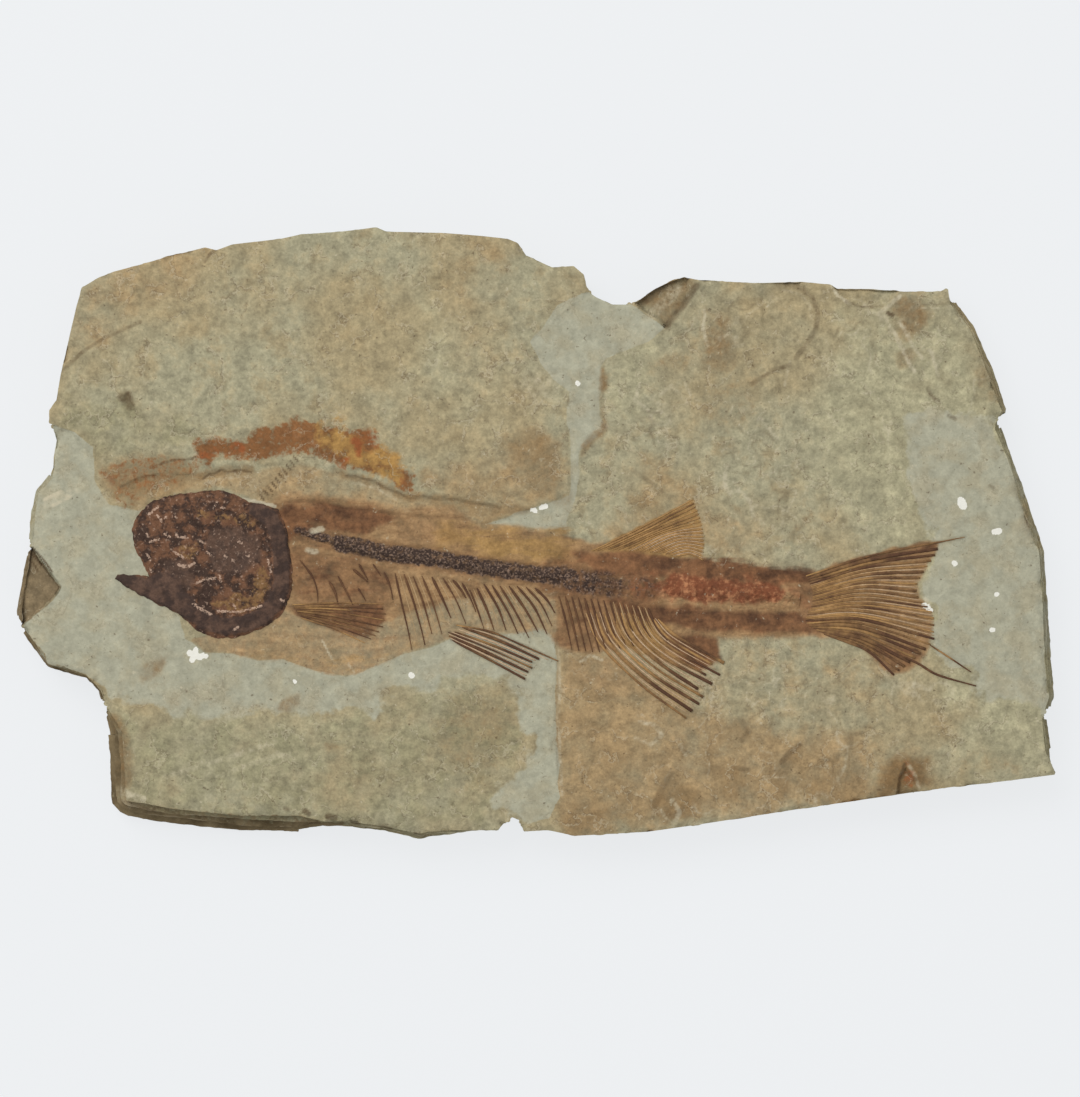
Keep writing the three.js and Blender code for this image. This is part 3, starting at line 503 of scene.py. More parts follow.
TAIL_FAN = {
    "roots": [(806, 576), (812, 590), (812, 604), (806, 622), (824, 634)],
    "middles": [(870, 556), (862, 582), (862, 602), (858, 622), (866, 650)],
    "tips": [(938, 542), (936, 553), (918, 582), (919, 599), (932, 612), (934, 632), (930, 645), (894, 675)],
    "count": 25,
}
TAIL_THREADS = [
    [(925, 545), (945, 541), (965, 537)], [(900, 655), (919, 664), (938, 675), (976, 686)],
    [(930, 645), (947, 656), (971, 672)],
]

# Relief of the face, in mm
SWELL, RIPPLE, TOOTH, GRIT, PIT = 0.22, 0.1, 0.07, 0.045, 0.22
TERRACE, TERRACE_MORE_RIGHT = 0.07, 0.17
FIELD_AT_JOINT, FIELD_AWAY, STRIP_RISE, CREASE_DROP = 0.2, 0.6, 0.4, 0.5
EDGE_WEAR, EDGE_CHIP, PLAIN_EARTHINESS = 0.7, 0.9, 0.28
LAMINA_SWELL, LAMINA_NOTCH = 0.35, 0.25
# Split beds of the face: size of the noise in mm, seed, level
SPLIT_BEDS = ((60, 3, 0.1), (44, 4, 0.2), (30, 8, 0.3), (70, 9, -0.2))
# Rise of the skull at its rim, over its dome, at the gill ring and at the jaw, in mm
SKULL_RIM, SKULL_DOME, SKULL_RING, SKULL_JAW = 0.5, 1.3, 0.9, 0.4

# Profile of a bone or ray that is half sunk in the face: across and up, in shares of its width and height
BAR_PROFILE = np.array([[-0.5, -0.5], [-0.46, 0.25], [-0.24, 0.86], [0.24, 0.86], [0.46, 0.25], [0.5, -0.5]])
# Width and height in mm, and share of the width at the tip
RIB_SIZE = (0.9, 0.45, 0.35)
SPLINTER_SIZE = (0.4, 0.2, 0.2)
# Rays of the tail's upper edge, the first of its lower edge, and the first of the dorsal fin's rear
TAIL_UPPER, TAIL_LOWER, DORSAL_REAR = 4, 17, 7

# Marks that the face carries, and how dark the stone is beside each group of bones
MARKS = [
    'film', 'umber', 'grain', 'gold', 'rose', 'rust', 'amber', 'ember', 'ochre', 'sage', 'moss', 'tea',
    'pale', 'white', 'brown', 'shade',
]
RAY_SHADE = {
    "ribs": 0.3, "spines": 0.3, "pectoral": 0.25, "pelvic": 0.35, "dorsal": 0.15, "anal": 0.25, "tail": 0.15,
    "threads": 0.3,
}
# Shader noise keeps near its middle, so that this many times its swing reaches about half a unit either way
NOISE_SWING = 2.5

# Studio: strengths, places in metres, lens in mm
FILL_STRENGTH = 0.6
KEY_POWER = 70.0
KEY_PLACE = (-1.3, 1.7, 2.6)
LAMP_SIZE = 2.2
FLOOR_REACH = 3.0
CAMERA_LENS = 250.0
CAMERA_SENSOR = 36.0

# Finish colours, as the eye sees them
STONE_TAN = (164, 150, 117)
STONE_GREEN = (164, 158, 130)
STONE_BROWN = (146, 129, 97)
FILLER_GREY = (169, 167, 146)
FILLER_WARM = (164, 158, 134)
MOSS = (142, 137, 108)
OCHRE = (158, 133, 97)
SAGE = (166, 160, 130)
TEA = (126, 102, 70)
FILM_TAN = (162, 131, 94)
FILM_BROWN = (132, 102, 71)
FILM_GOLD = (160, 127, 80)
UMBER = (124, 88, 60)
UMBER_DEEP = (94, 66, 48)
ROSE = (122, 74, 50)
ROSE_LIGHT = (156, 108, 76)
RUST = (130, 90, 56)
AMBER = (160, 124, 72)
EMBER = (136, 80, 46)
# Pale of scratches, flecks and specks, and also painted highlight on flake lips and lit facets.
PALE_AND_HIGHLIGHT = (200, 190, 164)
WHITE = (232, 230, 220)
SHADE = (82, 64, 44)
# Brown of the chip and the lower edge, partly painted shade on the sloping bottom-left edge.
BROWN_STAIN_AND_SHADE = (128, 112, 86)
EDGE_BROWN = (146, 130, 100)
EDGE_DARK = (102, 88, 64)
BONE_RED = (112, 80, 60)
BONE_DARK = (66, 50, 42)
BONE_PLUM = (88, 70, 60)
BONE_HONEY = (128, 98, 64)
BONE_CHIP = (186, 158, 138)
RING_DARK = (66, 52, 46)
RING_BROWN = (98, 76, 64)
GRAIN_BLACK = (62, 49, 43)
GRAIN_GREY = (138, 115, 99)
RAY_DARK = (88, 62, 46)
RAY_BROWN = (126, 92, 62)
RAY_GOLD = (170, 133, 86)
RAY_PALE = (190, 164, 134)
SPLINTER = (178, 150, 112)
FLOOR_WHITE = (84, 85, 86)
FLOOR_GLOW = (226, 228, 230)


def mm(points):
    """Pixels of the photograph as millimetres in the frame: right is +X, up is +Y."""
    return (np.asarray(points, float) - CENTRE_PIXEL) * [PIXEL, -PIXEL]


def ease(value):
    """0 up to 0, 1 from 1, and a smooth S between them."""
    v = np.clip(value, 0, 1)
    return v * v * (3 - 2 * v)


def lattice(column, row, seed):
    """One fixed value from -1 to 1 for each whole-number grid corner, from the corner's mixed-up bits."""
    bits = (column * 374761393 + row * 668265263 + seed * 974634343) & 0xFFFFFFFF
    bits = ((bits ^ (bits >> 13)) * 1274126177) & 0xFFFFFFFF
    return (bits ^ (bits >> 16)) / 2147483647.5 - 1


def noise(spots, size, seed):
    """Smooth noise from -1 to 1: values at the corners of a lattice of side size, eased between them."""
    place = spots / size
    corner = np.floor(place).astype(np.int64)
    across, up = ease(place - corner).T
    column, row = corner.T
    low = lattice(column, row, seed) * (1 - across) + lattice(column + 1, row, seed) * across
    high = lattice(column, row + 1, seed) * (1 - across) + lattice(column + 1, row + 1, seed) * across
    return low * (1 - up) + high * up


def rough(spots, size, seed, layers=3):
    """Noise in layers, each half the size and half the strength of the one before, about -1 to 1."""
    total = sum(noise(spots, size / 2**k, seed + k) / 2**k for k in range(layers))
    return total / 1.4


def inside(spots, starts, ends):
    """Whether each spot is within closed edges: a level ray from it crosses an odd number of them."""
    x, y = spots.T
    odd = np.zeros(len(spots), bool)
    for (x0, y0), (x1, y1) in zip(starts, ends):
        if y0 != y1:
            odd ^= ((y0 > y) != (y1 > y)) & (x < x0 + (y - y0) * (x1 - x0) / (y1 - y0))
    return odd


def edge_gap(spots, starts, ends, reach):
    """Distance from each spot to the nearest of some straight edges, in mm, and no more than reach."""
    gap = np.full(len(spots), float(reach))
    low = np.minimum(starts, ends).min(0) - reach
    high = np.maximum(starts, ends).max(0) + reach
    near = np.flatnonzero(((spots > low) & (spots < high)).all(1))
    part, best = spots[near], gap[near]
    for start, end in zip(starts, ends):
        way = end - start
        share = np.clip((part - start) @ way / max(way @ way, 1e-12), 0, 1)
        best = np.minimum(best, np.hypot(*(part - start - share[:, None] * way).T))
    gap[near] = best
    return gap


def line_gap(spots, line, reach):
    """Distance from each spot to a broken line of pixels."""
    points = mm(line)
    return edge_gap(spots, points[:-1], points[1:], reach)


def depth_in(spots, outline, reach):
    """How far each spot is inside an outline in pixels, in mm: below zero outside, never past reach."""
    starts = mm(outline)
    ends = np.roll(starts, -1, 0)
    depth = np.full(len(spots), -float(reach))
    near = np.flatnonzero(((spots > starts.min(0) - reach) & (spots < starts.max(0) + reach)).all(1))
    part = spots[near]
    gap = edge_gap(part, starts, ends, reach)
    depth[near] = np.where(inside(part, starts, ends), gap, -gap)
    return depth


def patch(spots, outline, feather, ragged=0.0, seed=0):
    """A soft area: 1 inside the outline, 0 outside, eased over the feather, its edge moved by noise."""
    depth = depth_in(spots, outline, feather + 2 * ragged + 0.5)
    touched = depth > -(feather + 2 * ragged)
    depth[touched] += ragged * rough(spots[touched], 3 + 2 * ragged, 50 + seed)
    return ease(0.5 + depth / (2 * feather))


def stroke(spots, line, width, feather):
    """A soft line: 1 within half its width of the middle, eased to 0 over the feather."""
    gap = line_gap(spots, line, width / 2 + feather)
    return ease(1 - (gap - width / 2) / feather) * (gap < width / 2 + feather)


def cross_section(node, height):
    """Where a level plane cuts a CAD node: the edges' starts and ends, with the outside on the right. Each
    triangle with corners on both sides gives the edge between its two cut sides."""
    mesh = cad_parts[node].data
    mesh.calc_loop_triangles()
    places = np.empty(len(mesh.vertices) * 3)
    mesh.vertices.foreach_get("co", places)
    corners = np.empty(len(mesh.loop_triangles) * 3, np.int32)
    mesh.loop_triangles.foreach_get("vertices", corners)
    triangles = (places.reshape(-1, 3) / MM)[corners.reshape(-1, 3)]
    above = triangles[..., 2] > height
    cut = above.any(1) & ~above.all(1)
    triangles, above = triangles[cut], above[cut]
    lone = np.where(above.sum(1) == 1, above.argmax(1), (~above).argmax(1))
    pick = np.arange(len(triangles))
    first, second, third = (triangles[pick, (lone + k) % 3] for k in range(3))

    def crossing(a, b):
        share = (height - a[:, 2]) / (b[:, 2] - a[:, 2])
        return (a + share[:, None] * (b - a))[:, :2]

    starts, ends = crossing(first, second), crossing(first, third)
    outward = np.cross(second - first, third - first)[:, :2]
    way = ends - starts
    wrong = way[:, 1] * outward[:, 0] - way[:, 0] * outward[:, 1] < 0
    starts[wrong], ends[wrong] = ends[wrong], starts[wrong]
    long_enough = np.hypot(*(ends - starts).T) > 1e-6
    return starts[long_enough], ends[long_enough]


TOP_EDGES = {node: cross_section(node, BED_MIDDLES[-1]) for node in STONES + FILLERS}


def filler_share(spots):
    """1 on the filler and 0 on stone: the depth inside the filler's outlines, moved by noise. It is crisp
    along the fish, and soft over the lower stone and round the tail. A smear lies over the back."""
    reach = 12.0
    depth = np.full(len(spots), -reach)
    for node in FILLERS:
        starts, ends = TOP_EDGES[node]
        gap = edge_gap(spots, starts, ends, reach)
        depth = np.maximum(depth, np.where(inside(spots, starts, ends), gap, -gap))
    smoothed = np.minimum(line_gap(spots, LOWER_JOINT, reach), line_gap(spots, TAIL_JOINT, reach))
    soft = ease(1 - smoothed / reach)
    feather = 0.5 + 6.0 * soft
    moved = depth + (0.5 + 5.0 * soft) * rough(spots, 9, 21)
    share = ease(0.5 + moved / (2 * feather))
    return np.maximum(share, 0.8 * patch(spots, FILLER_SMEAR, 0.8, 0.6, 5))


def flaking(spots):
    """How far each spot is above the edge of each split bed: bent noise less the bed's own level."""
    bend = 2.0 * np.column_stack([rough(spots, 9, 61), rough(spots, 9, 64)])
    return [rough(spots + bend, size, seed, 5) - level for size, seed, level in SPLIT_BEDS]


def face_height(spots, filler=None):
    """Height of the face over the bedding plane, in mm: long swells, thin terraces where beds have split,
    pits and fine tooth, all weaker on the filler, with the raised field over the fish's back, the strip
    below it and the flakes that have come off."""
    if filler is None:
        filler = filler_share(spots)
    stone = 1 - 0.75 * filler
    height = SWELL * rough(spots, 60, 1) + RIPPLE * rough(spots, 15, 2)
    terraces = sum(ease(rise / 0.06) for rise in flaking(spots))
    right = ease((spots[:, 0] - 8) / 6)
    height += stone * (TERRACE + TERRACE_MORE_RIGHT * right) * (terraces - 1.5)
    height += stone * (TOOTH * rough(spots, 4.5, 5) + GRIT * rough(spots, 1.6, 6, 2))
    height -= stone * PIT * ease((noise(spots, 2.6, 7) - 0.6) / 0.3)
    away = ease(line_gap(spots, MAIN_JOINT, 16) / 14)
    field = patch(spots, FIELD, 0.5, 0.5, 1)
    height += field * (FIELD_AT_JOINT + FIELD_AWAY * away)
    height += STRIP_RISE * patch(spots, STRIP, 0.6, 0.4, 2) * (1 - field)
    height -= CREASE_DROP * patch(spots, CORNER_BEYOND_CREASE, 1.2, 1.0, 3)
    for number, (depth, outline) in enumerate(FLAKES):
        height -= depth * patch(spots, outline, 0.5, 0.6, 10 + number)
    return height


def fan_lines(fan):
    """Rays spread evenly from a line of roots past a line of middles to a line of tips, in pixels."""
    rows = [smooth_line(np.asarray(fan[row], float), fan["count"]) for row in ("roots", "middles", "tips")]
    return [smooth_line(np.stack(ray), RAY_STEPS) for ray in zip(*rows)]


def smooth_line(points, count):
    """A curve through given points, by Catmull-Rom spans, sampled at even steps along it."""
    p = np.asarray(points, float)
    p = np.vstack([2 * p[0] - p[1], p, 2 * p[-1] - p[-2]])
    spans = len(p) - 3
    t = np.linspace(0, spans, 24 * spans + 1)
    i = np.minimum(t.astype(int), spans - 1)
    f = (t - i)[:, None]
    a, b, c, d = p[i], p[i + 1], p[i + 2], p[i + 3]
    curve = b + 0.5 * ((c - a) * f + (2 * a - 5 * b + 4 * c - d) * f**2 + (3 * b - a - 3 * c + d) * f**3)
    run = np.concatenate([[0], np.cumsum(np.hypot(*np.diff(curve, axis=0).T))])
    even = np.linspace(0, run[-1], count)
    return np.stack([np.interp(even, run, curve[:, k]) for k in (0, 1)], 1)


RAY_GROUPS = {
    "ribs": [smooth_line(line, RAY_STEPS) for line in RIBS],
    "spines": fan_lines(TAIL_SPINES),
    "pectoral": [smooth_line(line, RAY_STEPS) for line in PECTORAL_RAYS],
    "pelvic": [smooth_line(line, RAY_STEPS) for line in PELVIC_RAYS],
    "dorsal": fan_lines(DORSAL_FAN),
    "anal": [smooth_line(line, RAY_STEPS) for line in ANAL_RAYS],
    "tail": fan_lines(TAIL_FAN),
    "threads": [smooth_line(line, RAY_STEPS) for line in TAIL_THREADS],
}


def face_marks(spots):
    """Every mark on the face, by name, from 0 to 1: the strongest of its stains and lines at each spot, with
    painted highlight and painted shade along the edges of split beds.
    """
    marks = {name: np.zeros(len(spots)) for name in MARKS}
    for number, (mark, strength, feather, ragged, outline) in enumerate(STAINS):
        area = strength * patch(spots, outline, feather, ragged, 100 + number)
        marks[mark] = np.maximum(marks[mark], area)
    bare = (1 - filler_share(spots)) * (1 - marks["film"]) * ease(0.5 + 1.4 * rough(spots, 18, 65))
    bare *= 0.35 + 0.65 * ease((spots[:, 0] - 8) / 6)
    # Painted highlight on the upper lip of each split bed's edge, and painted shade just below it, on bare
    # stone.
    for rise in flaking(spots):
        marks["pale"] = np.maximum(marks["pale"], 0.4 * bare * ease(1 - abs(rise - 0.03) / 0.03))
        marks["shade"] = np.maximum(marks["shade"], 0.35 * bare * ease(1 - abs(rise + 0.025) / 0.03))
    for mark, strength, width, feather, line in MARK_LINES:
        marks[mark] = np.maximum(marks[mark], strength * stroke(spots, line, width, feather))
    for mark, lines in (("grain", GRAIN_LINES), ("umber", HAZE_LINES)):
        for strength, width, feather, line in lines:
            marks[mark] = np.maximum(marks[mark], strength * stroke(spots, line, width, feather))
    for group, lines in RAY_GROUPS.items():
        for line in lines:
            beside = RAY_SHADE[group] * stroke(spots, line[::3], 0.7, 0.8)
            marks["shade"] = np.maximum(marks["shade"], beside)
    for dash in strand_dashes():
        marks["shade"] = np.maximum(marks["shade"], 0.7 * stroke(spots, dash, 0.35, 0.45))
    for width, line in WHITE_SPECKS:
        marks["white"] = np.maximum(marks["white"], stroke(spots, line, width, 0.5))
    return marks


def strand_dashes():
    """Short slanted dashes set at even steps along the strand, each across it, leaning back."""
    middle = smooth_line(STRAND, STRAND_DASHES)
    lean = np.array([2.2, 2.6])
    return [np.stack([spot - lean, spot + lean]) for spot in middle]


def make_piece(name, points, face_sets, smooth_sets, marks, open_below=False):
    """A mesh object from points in mm and sets of faces that each have one number of corners."""
    mesh = bpy.data.meshes.new(name)
    mesh.vertices.add(len(points))
    mesh.vertices.foreach_set("co", (points * MM).astype(np.float32).ravel())
    sizes = np.concatenate([np.full(len(faces), faces.shape[1]) for faces in face_sets])
    corners = np.concatenate([faces.ravel() for faces in face_sets])
    mesh.loops.add(len(corners))
    mesh.loops.foreach_set("vertex_index", corners.astype(np.int32))
    mesh.polygons.add(len(sizes))
    mesh.polygons.foreach_set("loop_start", (np.cumsum(sizes) - sizes).astype(np.int32))
    smooth = np.concatenate([np.full(len(faces), on) for faces, on in zip(face_sets, smooth_sets)])
    mesh.polygons.foreach_set("use_smooth", smooth)
    for mark, values in marks.items():
        mesh.attributes.new(mark, "FLOAT", "POINT").data.foreach_set("value", values.astype(np.float32))
    mesh.update(calc_edges=True)
    if open_below:
        close_below(mesh)
    piece = bpy.data.objects.new(name, mesh)
    bpy.context.scene.collection.objects.link(piece)
    return piece


def close_below(mesh):
    """Closes the open rim under a piece with one flat face that looks down."""
    shell = bmesh.new()
    shell.from_mesh(mesh)
    rim = [edge for edge in shell.edges if edge.is_boundary]
    made = bmesh.ops.holes_fill(shell, edges=rim, sides=0)["faces"]
    for face in made:
        face.normal_update()
        if face.normal.z > 0:
            face.normal_flip()
        face.smooth = False
    shell.to_mesh(mesh)
    shell.free()


def trimmed_grid(starts, ends, cell):
    """Square cells whose middles lie inside an outline, the rim drawn onto it and the cells eased. Returns
    spots, quads, and for each rim spot its index, the place of the next one in that list, and its way out."""
    low, high = np.minimum(starts, ends).min(0) - cell, np.maximum(starts, ends).max(0) + 2 * cell
    xs, ys = np.arange(low[0], high[0], cell), np.arange(low[1], high[1], cell)
    middle = np.stack(np.meshgrid(xs[:-1] + cell / 2, ys[:-1] + cell / 2), -1)
    keep = inside(middle.reshape(-1, 2), starts, ends).reshape(middle.shape[:2])
    for _ in range(6):
        wide = np.pad(keep, 1).astype(int)
        sides = wide[1:-1, :-2] + wide[1:-1, 2:] + wide[:-2, 1:-1] + wide[2:, 1:-1]
        keep &= sides >= 2
        a, b, c, d = keep[:-1, :-1], keep[:-1, 1:], keep[1:, :-1], keep[1:, 1:]
        falling, rising = a & d & ~b & ~c, b & c & ~a & ~d
        a &= ~falling
        b &= ~rising
    used = np.zeros((len(ys), len(xs)), bool)
    for up in (0, 1):
        for right in (0, 1):
            used[up : up + keep.shape[0], right : right + keep.shape[1]] |= keep
    number = np.cumsum(used).reshape(used.shape) - 1
    row, column = np.nonzero(keep)
    quads = np.stack(
        [number[row, column], number[row, column + 1], number[row + 1, column + 1], number[row + 1, column]],
        1,
    )
    spots = np.stack(np.meshgrid(xs, ys), -1)[used]
    edges = np.concatenate([quads[:, [k, (k + 1) % 4]] for k in range(4)])
    key, back = edges @ [len(spots), 1], edges @ [1, len(spots)]
    rim = edges[~np.isin(key, back)]
    place = np.full(len(spots), -1)
    place[rim[:, 0]] = np.arange(len(rim))
    following = place[rim[:, 1]]
    before = np.empty(len(rim), int)
    before[following] = np.arange(len(rim))
    index = rim[:, 0]
    neighbours = np.bincount(edges[:, 0], minlength=len(spots))[:, None]
    fixed = np.zeros(len(spots), bool)
    fixed[index] = True
    for _ in range(8):
        loop = spots[index]
        pulled = 0.5 * loop + 0.25 * (loop[following] + loop[before])
        spots[index] = nearest_on(pulled, starts, ends)
        summed = np.stack([np.bincount(edges[:, 0], spots[edges[:, 1], k], len(spots)) for k in (0, 1)], 1)
        spots = np.where(fixed[:, None], spots, summed / neighbours)
    way = spots[index[following]] - spots[index[before]]
    out = np.stack([way[:, 1], -way[:, 0]], 1)
    out /= np.maximum(np.hypot(*out.T), 1e-9)[:, None]
    return spots, quads, index, following, out


def nearest_on(spots, starts, ends):
    """The nearest point to each spot on any of some straight edges."""
    way = ends - starts
    share = ((spots[:, None] - starts) * way).sum(2) / (way**2).sum(1)
    foot = starts + np.clip(share, 0, 1)[..., None] * way
    best = ((spots[:, None] - foot) ** 2).sum(2).argmin(1)
    return foot[np.arange(len(spots)), best]


def wall_faces(following, top, rows):
    """Quads down the wall under a rim: top has the rim's own indices, rows the first index of each row."""
    here = np.arange(len(following))
    levels = [top] + [first + here for first in rows]
    return np.concatenate([
        np.stack([upper[following], upper, lower, lower[following]], 1)
        for upper, lower in zip(levels, levels[1:])
    ])


def slab_piece(name, node, material):
    """One stone or patch of filler. The face is a trimmed grid at the face's height. The wall goes down in
    rows, each set out to the CAD node's section at that bed, with uneven laminae where it is broken rock."""
    starts, ends = TOP_EDGES[node]
    cell = FILLER_CELL if node in FILLERS else SLAB_CELL
    spots, quads, index, following, out = trimmed_grid(starts, ends, cell)
    others = [TOP_EDGES[other] for other in TOP_EDGES if other != node]
    apart = edge_gap(spots[index], *(np.concatenate(ends_of) for ends_of in zip(*others)), 3.0)
    broken = ease((apart - 0.6) / 1.2)
    overlap = FILLER_OVERLAP if node in FILLERS else SEAM_OVERLAP
    spots[index] += out * ((0.5 * apart + overlap) * (1 - broken))[:, None]
    for tip in mm(FILLER_TIPS):
        near = ease(1.6 - np.hypot(*(spots[index] - tip).T) / 5)
        spots[index] += out * (TIP_CLOSING * near * (1 - broken))[:, None]
    rim = spots[index]
    filler = filler_share(spots)
    height = face_height(spots, filler)
    to_rim = edge_gap(spots, rim[broken > 0.5], rim[following][broken > 0.5], 2.5)
    wear = 0.2 + 0.8 * ease(0.5 + rough(spots, 6, 31))
    chipped = ease((rough(spots, 9, 32) - 0.35) / 0.2)
    height -= EDGE_WEAR * wear * ease(1 - to_rim / 1.3) + EDGE_CHIP * chipped * ease(1 - to_rim / 2.4)
    height[index] -= SEAM_DROP.get(node, 0.0) * (1 - broken)
    insets = []
    for level in BED_MIDDLES:
        foot = nearest_on(rim, *cross_section(node, level))
        insets.append(np.clip(((foot - rim) * out).sum(1), -8, 8) * broken)
    rows = []
    for low, high, inset in zip([0.0] + BED_TOPS, BED_TOPS + [FACE - 0.6], insets):
        for share in (0.0, 0.35, 0.7, 1.0):
            level = low + share * (high - low - 0.06) + 0.03
            shifted = rim + level * np.array([7.3, 5.1])
            lamina = LAMINA_SWELL * rough(shifted, 6, 33) - LAMINA_NOTCH * abs(noise(shifted, 2.2, 35))
            rows.append((level if level > 0.1 else 0.0, inset + broken * lamina * ease(level / 2)))
    rows.reverse()
    places = [np.column_stack([spots, FACE + height])]
    for level, offset in rows:
        places.append(np.column_stack([rim + out * offset[:, None], np.full(len(rim), level)]))
    points = np.concatenate(places)
    firsts = len(spots) + len(rim) * np.arange(len(rows))
    walls = wall_faces(following, index, firsts)
    marks = face_marks(points[:, :2])
    marks["filler"] = np.concatenate([filler, np.tile(filler[index], len(rows))])
    earthy = PLAIN_EARTHINESS + (1 - PLAIN_EARTHINESS) * patch(points[:, :2], EARTHY_EDGE, 6.0, 3.0)
    sides = [broken * ease(1.3 - level / FACE) for level, _ in rows]
    marks["wall"] = earthy * np.concatenate([0.6 * ease(1 - to_rim / 0.9), np.concatenate(sides)])
    piece = make_piece(name, points, [quads, walls], [True, False], marks, open_below=True)
    piece.data.set_sharp_from_angle(angle=RIM_ANGLE)
    return dress(piece, material, node)


def dress(piece, material, node):
    """Gives a piece its material, hangs it under the root body and hides the CAD node that it stands for."""
    piece.data.materials.append(material)
    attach(piece, "root")
    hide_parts(node)
    return piece




def bars(lines, width, height, profile=BAR_PROFILE, root=0.35, tip=0.4, count=RAY_STEPS):
    """Low bars on the face: a profile carried along each line in pixels, thinning to its tip. Returns points
    and face sets, with each bar's own number and share of the way along for every point."""
    paths = np.stack([mm(smooth_line(line, count)) for line in lines])
    total, steps, sides = len(paths), count, len(profile)
    way = np.gradient(paths, axis=1)
    way /= np.maximum(np.hypot(way[..., 0], way[..., 1]), 1e-9)[..., None]
    across = np.stack([-way[..., 1], way[..., 0]], -1)
    share = np.linspace(0, 1, steps)
    number = np.arange(total)
    bar = np.repeat(number, steps)
    wander = noise(np.column_stack([bar * 9.7, np.tile(share, total) * 6]), 1, 41)
    uneven = 1 + 0.25 * lattice(bar, 3 * bar, 6) + 0.22 * wander
    size = (1 - (1 - tip) * share**1.6) * np.minimum(1, root + share * 5) * uneven.reshape(total, steps)
    base = FACE + face_height(paths.reshape(-1, 2)).reshape(total, steps)
    flat = paths[:, :, None] + across[:, :, None] * (profile[:, 0] * width * size[..., None])[..., None]
    level = base[..., None] + profile[:, 1] * height * size[..., None]
    points = np.concatenate([flat, level[..., None]], -1).reshape(-1, 3)
    corner = np.arange(total * steps * sides).reshape(total, steps, sides)
    turned = np.roll(corner, -1, 2)
    quads = np.stack([corner[:, :-1], corner[:, 1:], turned[:, 1:], turned[:, :-1]], -1).reshape(-1, 4)
    caps = np.concatenate([corner[:, 0], corner[:, -1, ::-1]])
    owner = np.repeat(number, steps * sides)
    along = np.tile(np.repeat(share, sides), total)
    return points, [quads, caps], owner, along


def joined(parts):
    """Several sets of points and faces as one, with the faces' indices moved on."""
    points, face_sets, first = [], [], 0
    for places, faces in parts:
        points.append(places)
        face_sets += [one + first for one in faces]
        first += len(places)
    return np.concatenate(points), face_sets


def gaps_between(lines):
    """The lines midway between neighbouring rays."""
    return [(line + following) / 2 for line, following in zip(lines, lines[1:])]


def ray_piece(name, node, groups, material):
    """A fin: its rays as low bars. groups gives each set of lines with its width, height, tip, and tone at
    its root and at its tip."""
    parts, tone = [], []
    for lines, width, height, tip, root_tone, tip_tone in groups:
        points, faces, owner, along = bars(lines, width, height, tip=tip)
        parts.append((points, faces))
        plain = root_tone + (tip_tone - root_tone) * along
        streaks = noise(np.column_stack([owner * 3.1, along * 4]), 1, 43)
        tone.append(plain + (0.3 * lattice(owner, 7 * owner, 5) + 0.4 * streaks))
    points, faces = joined(parts)
    piece = make_piece(name, points, faces, [True, False] * len(parts), {"tone": np.concatenate(tone)})
    return dress(piece, material, node)


def column(line, width, height, root, count):
    """The backbone: a low swell that meets the face smoothly, with a shallow waist at each vertebra and a
    surface of coarse grains."""
    across = np.linspace(-0.5, 0.5, 25)
    profile = np.column_stack([across, np.cos(np.pi * across) ** 2 - 0.04])
    profile[[0, -1], 1] = -0.5
    points, faces, _, along = bars([line], width, height, profile=profile, root=root, tip=0.85, count=count)
    middle = mm(smooth_line(line, count))
    run = along * np.hypot(*np.diff(middle, axis=0).T).sum()
    up = np.tile(np.clip(profile[:, 1], 0, 1), count)
    grains = 0.4 * rough(points[:, :2], 1.5, 45, 2) + 0.25 * noise(points[:, :2], 0.7, 47)
    points[:, 2] += ease(2 * up) * (grains + 0.06 * height * np.cos(2 * np.pi * run / VERTEBRA))
    return points, faces


def skull_piece(material):
    """The flattened head: a trimmed grid raised as a low dome from its rim, with the gill ring and the jaw as
    smooth bars, chips standing up a little, and the broken plates between them as lumps and cracks."""
    starts = mm(SKULL)[::-1]
    ends = np.roll(starts, -1, 0)
    spots, quads, index, following, out = trimmed_grid(starts, ends, SKULL_CELL)
    depth = depth_in(spots, SKULL, 12.0)
    spots[index] += out * (0.45 * rough(spots[index], 1.8, 59, 2))[:, None]
    ring = stroke(spots, GILL_RING, 3.6, 2.2)
    jaw = patch(spots, JAW, 1.2, 0.4)
    marks = {name: np.zeros(len(spots)) for name in ("plum", "honey", "chip")}
    for number, (mark, strength, feather, ragged, outline) in enumerate(SKULL_AREAS):
        area = strength * patch(spots, outline, feather, ragged, 200 + number)
        marks[mark] = np.maximum(marks[mark], area)
    for width, line in SKULL_CHIPS:
        marks["chip"] = np.maximum(marks["chip"], stroke(spots, line, width * 0.4, 0.5))
    marks["ring"] = np.maximum(ring, jaw)
    broken = 1 - 0.75 * marks["ring"]
    lift = SKULL_RIM * ease(depth / 1.0) + SKULL_DOME * ease(depth / 9.0)
    lift += SKULL_RING * ring + SKULL_JAW * jaw
    lift += broken * ease(depth / 2) * (0.45 * rough(spots, 7, 51) + 0.3 * rough(spots, 2.4, 53))
    lift -= broken * 0.35 * ease(1 - abs(rough(spots, 9, 55)) / 0.08)
    lift += 0.12 * rough(spots, 1.0, 57, 2) + 0.15 * marks["chip"] * ease(depth)
    ground = face_height(spots)
    rim_low = FACE + ground[index] - 0.5
    points = np.concatenate([
        np.column_stack([spots, FACE + ground + np.maximum(lift, 0.15)]),
        np.column_stack([spots[index], rim_low]),
    ])
    walls = wall_faces(following, index, [len(spots)])
    marks = {mark: np.concatenate([values, values[index]]) for mark, values in marks.items()}
    piece = make_piece("fish_skull", points, [quads, walls], [True, False], marks, open_below=True)
    return dress(piece, material, "skull")


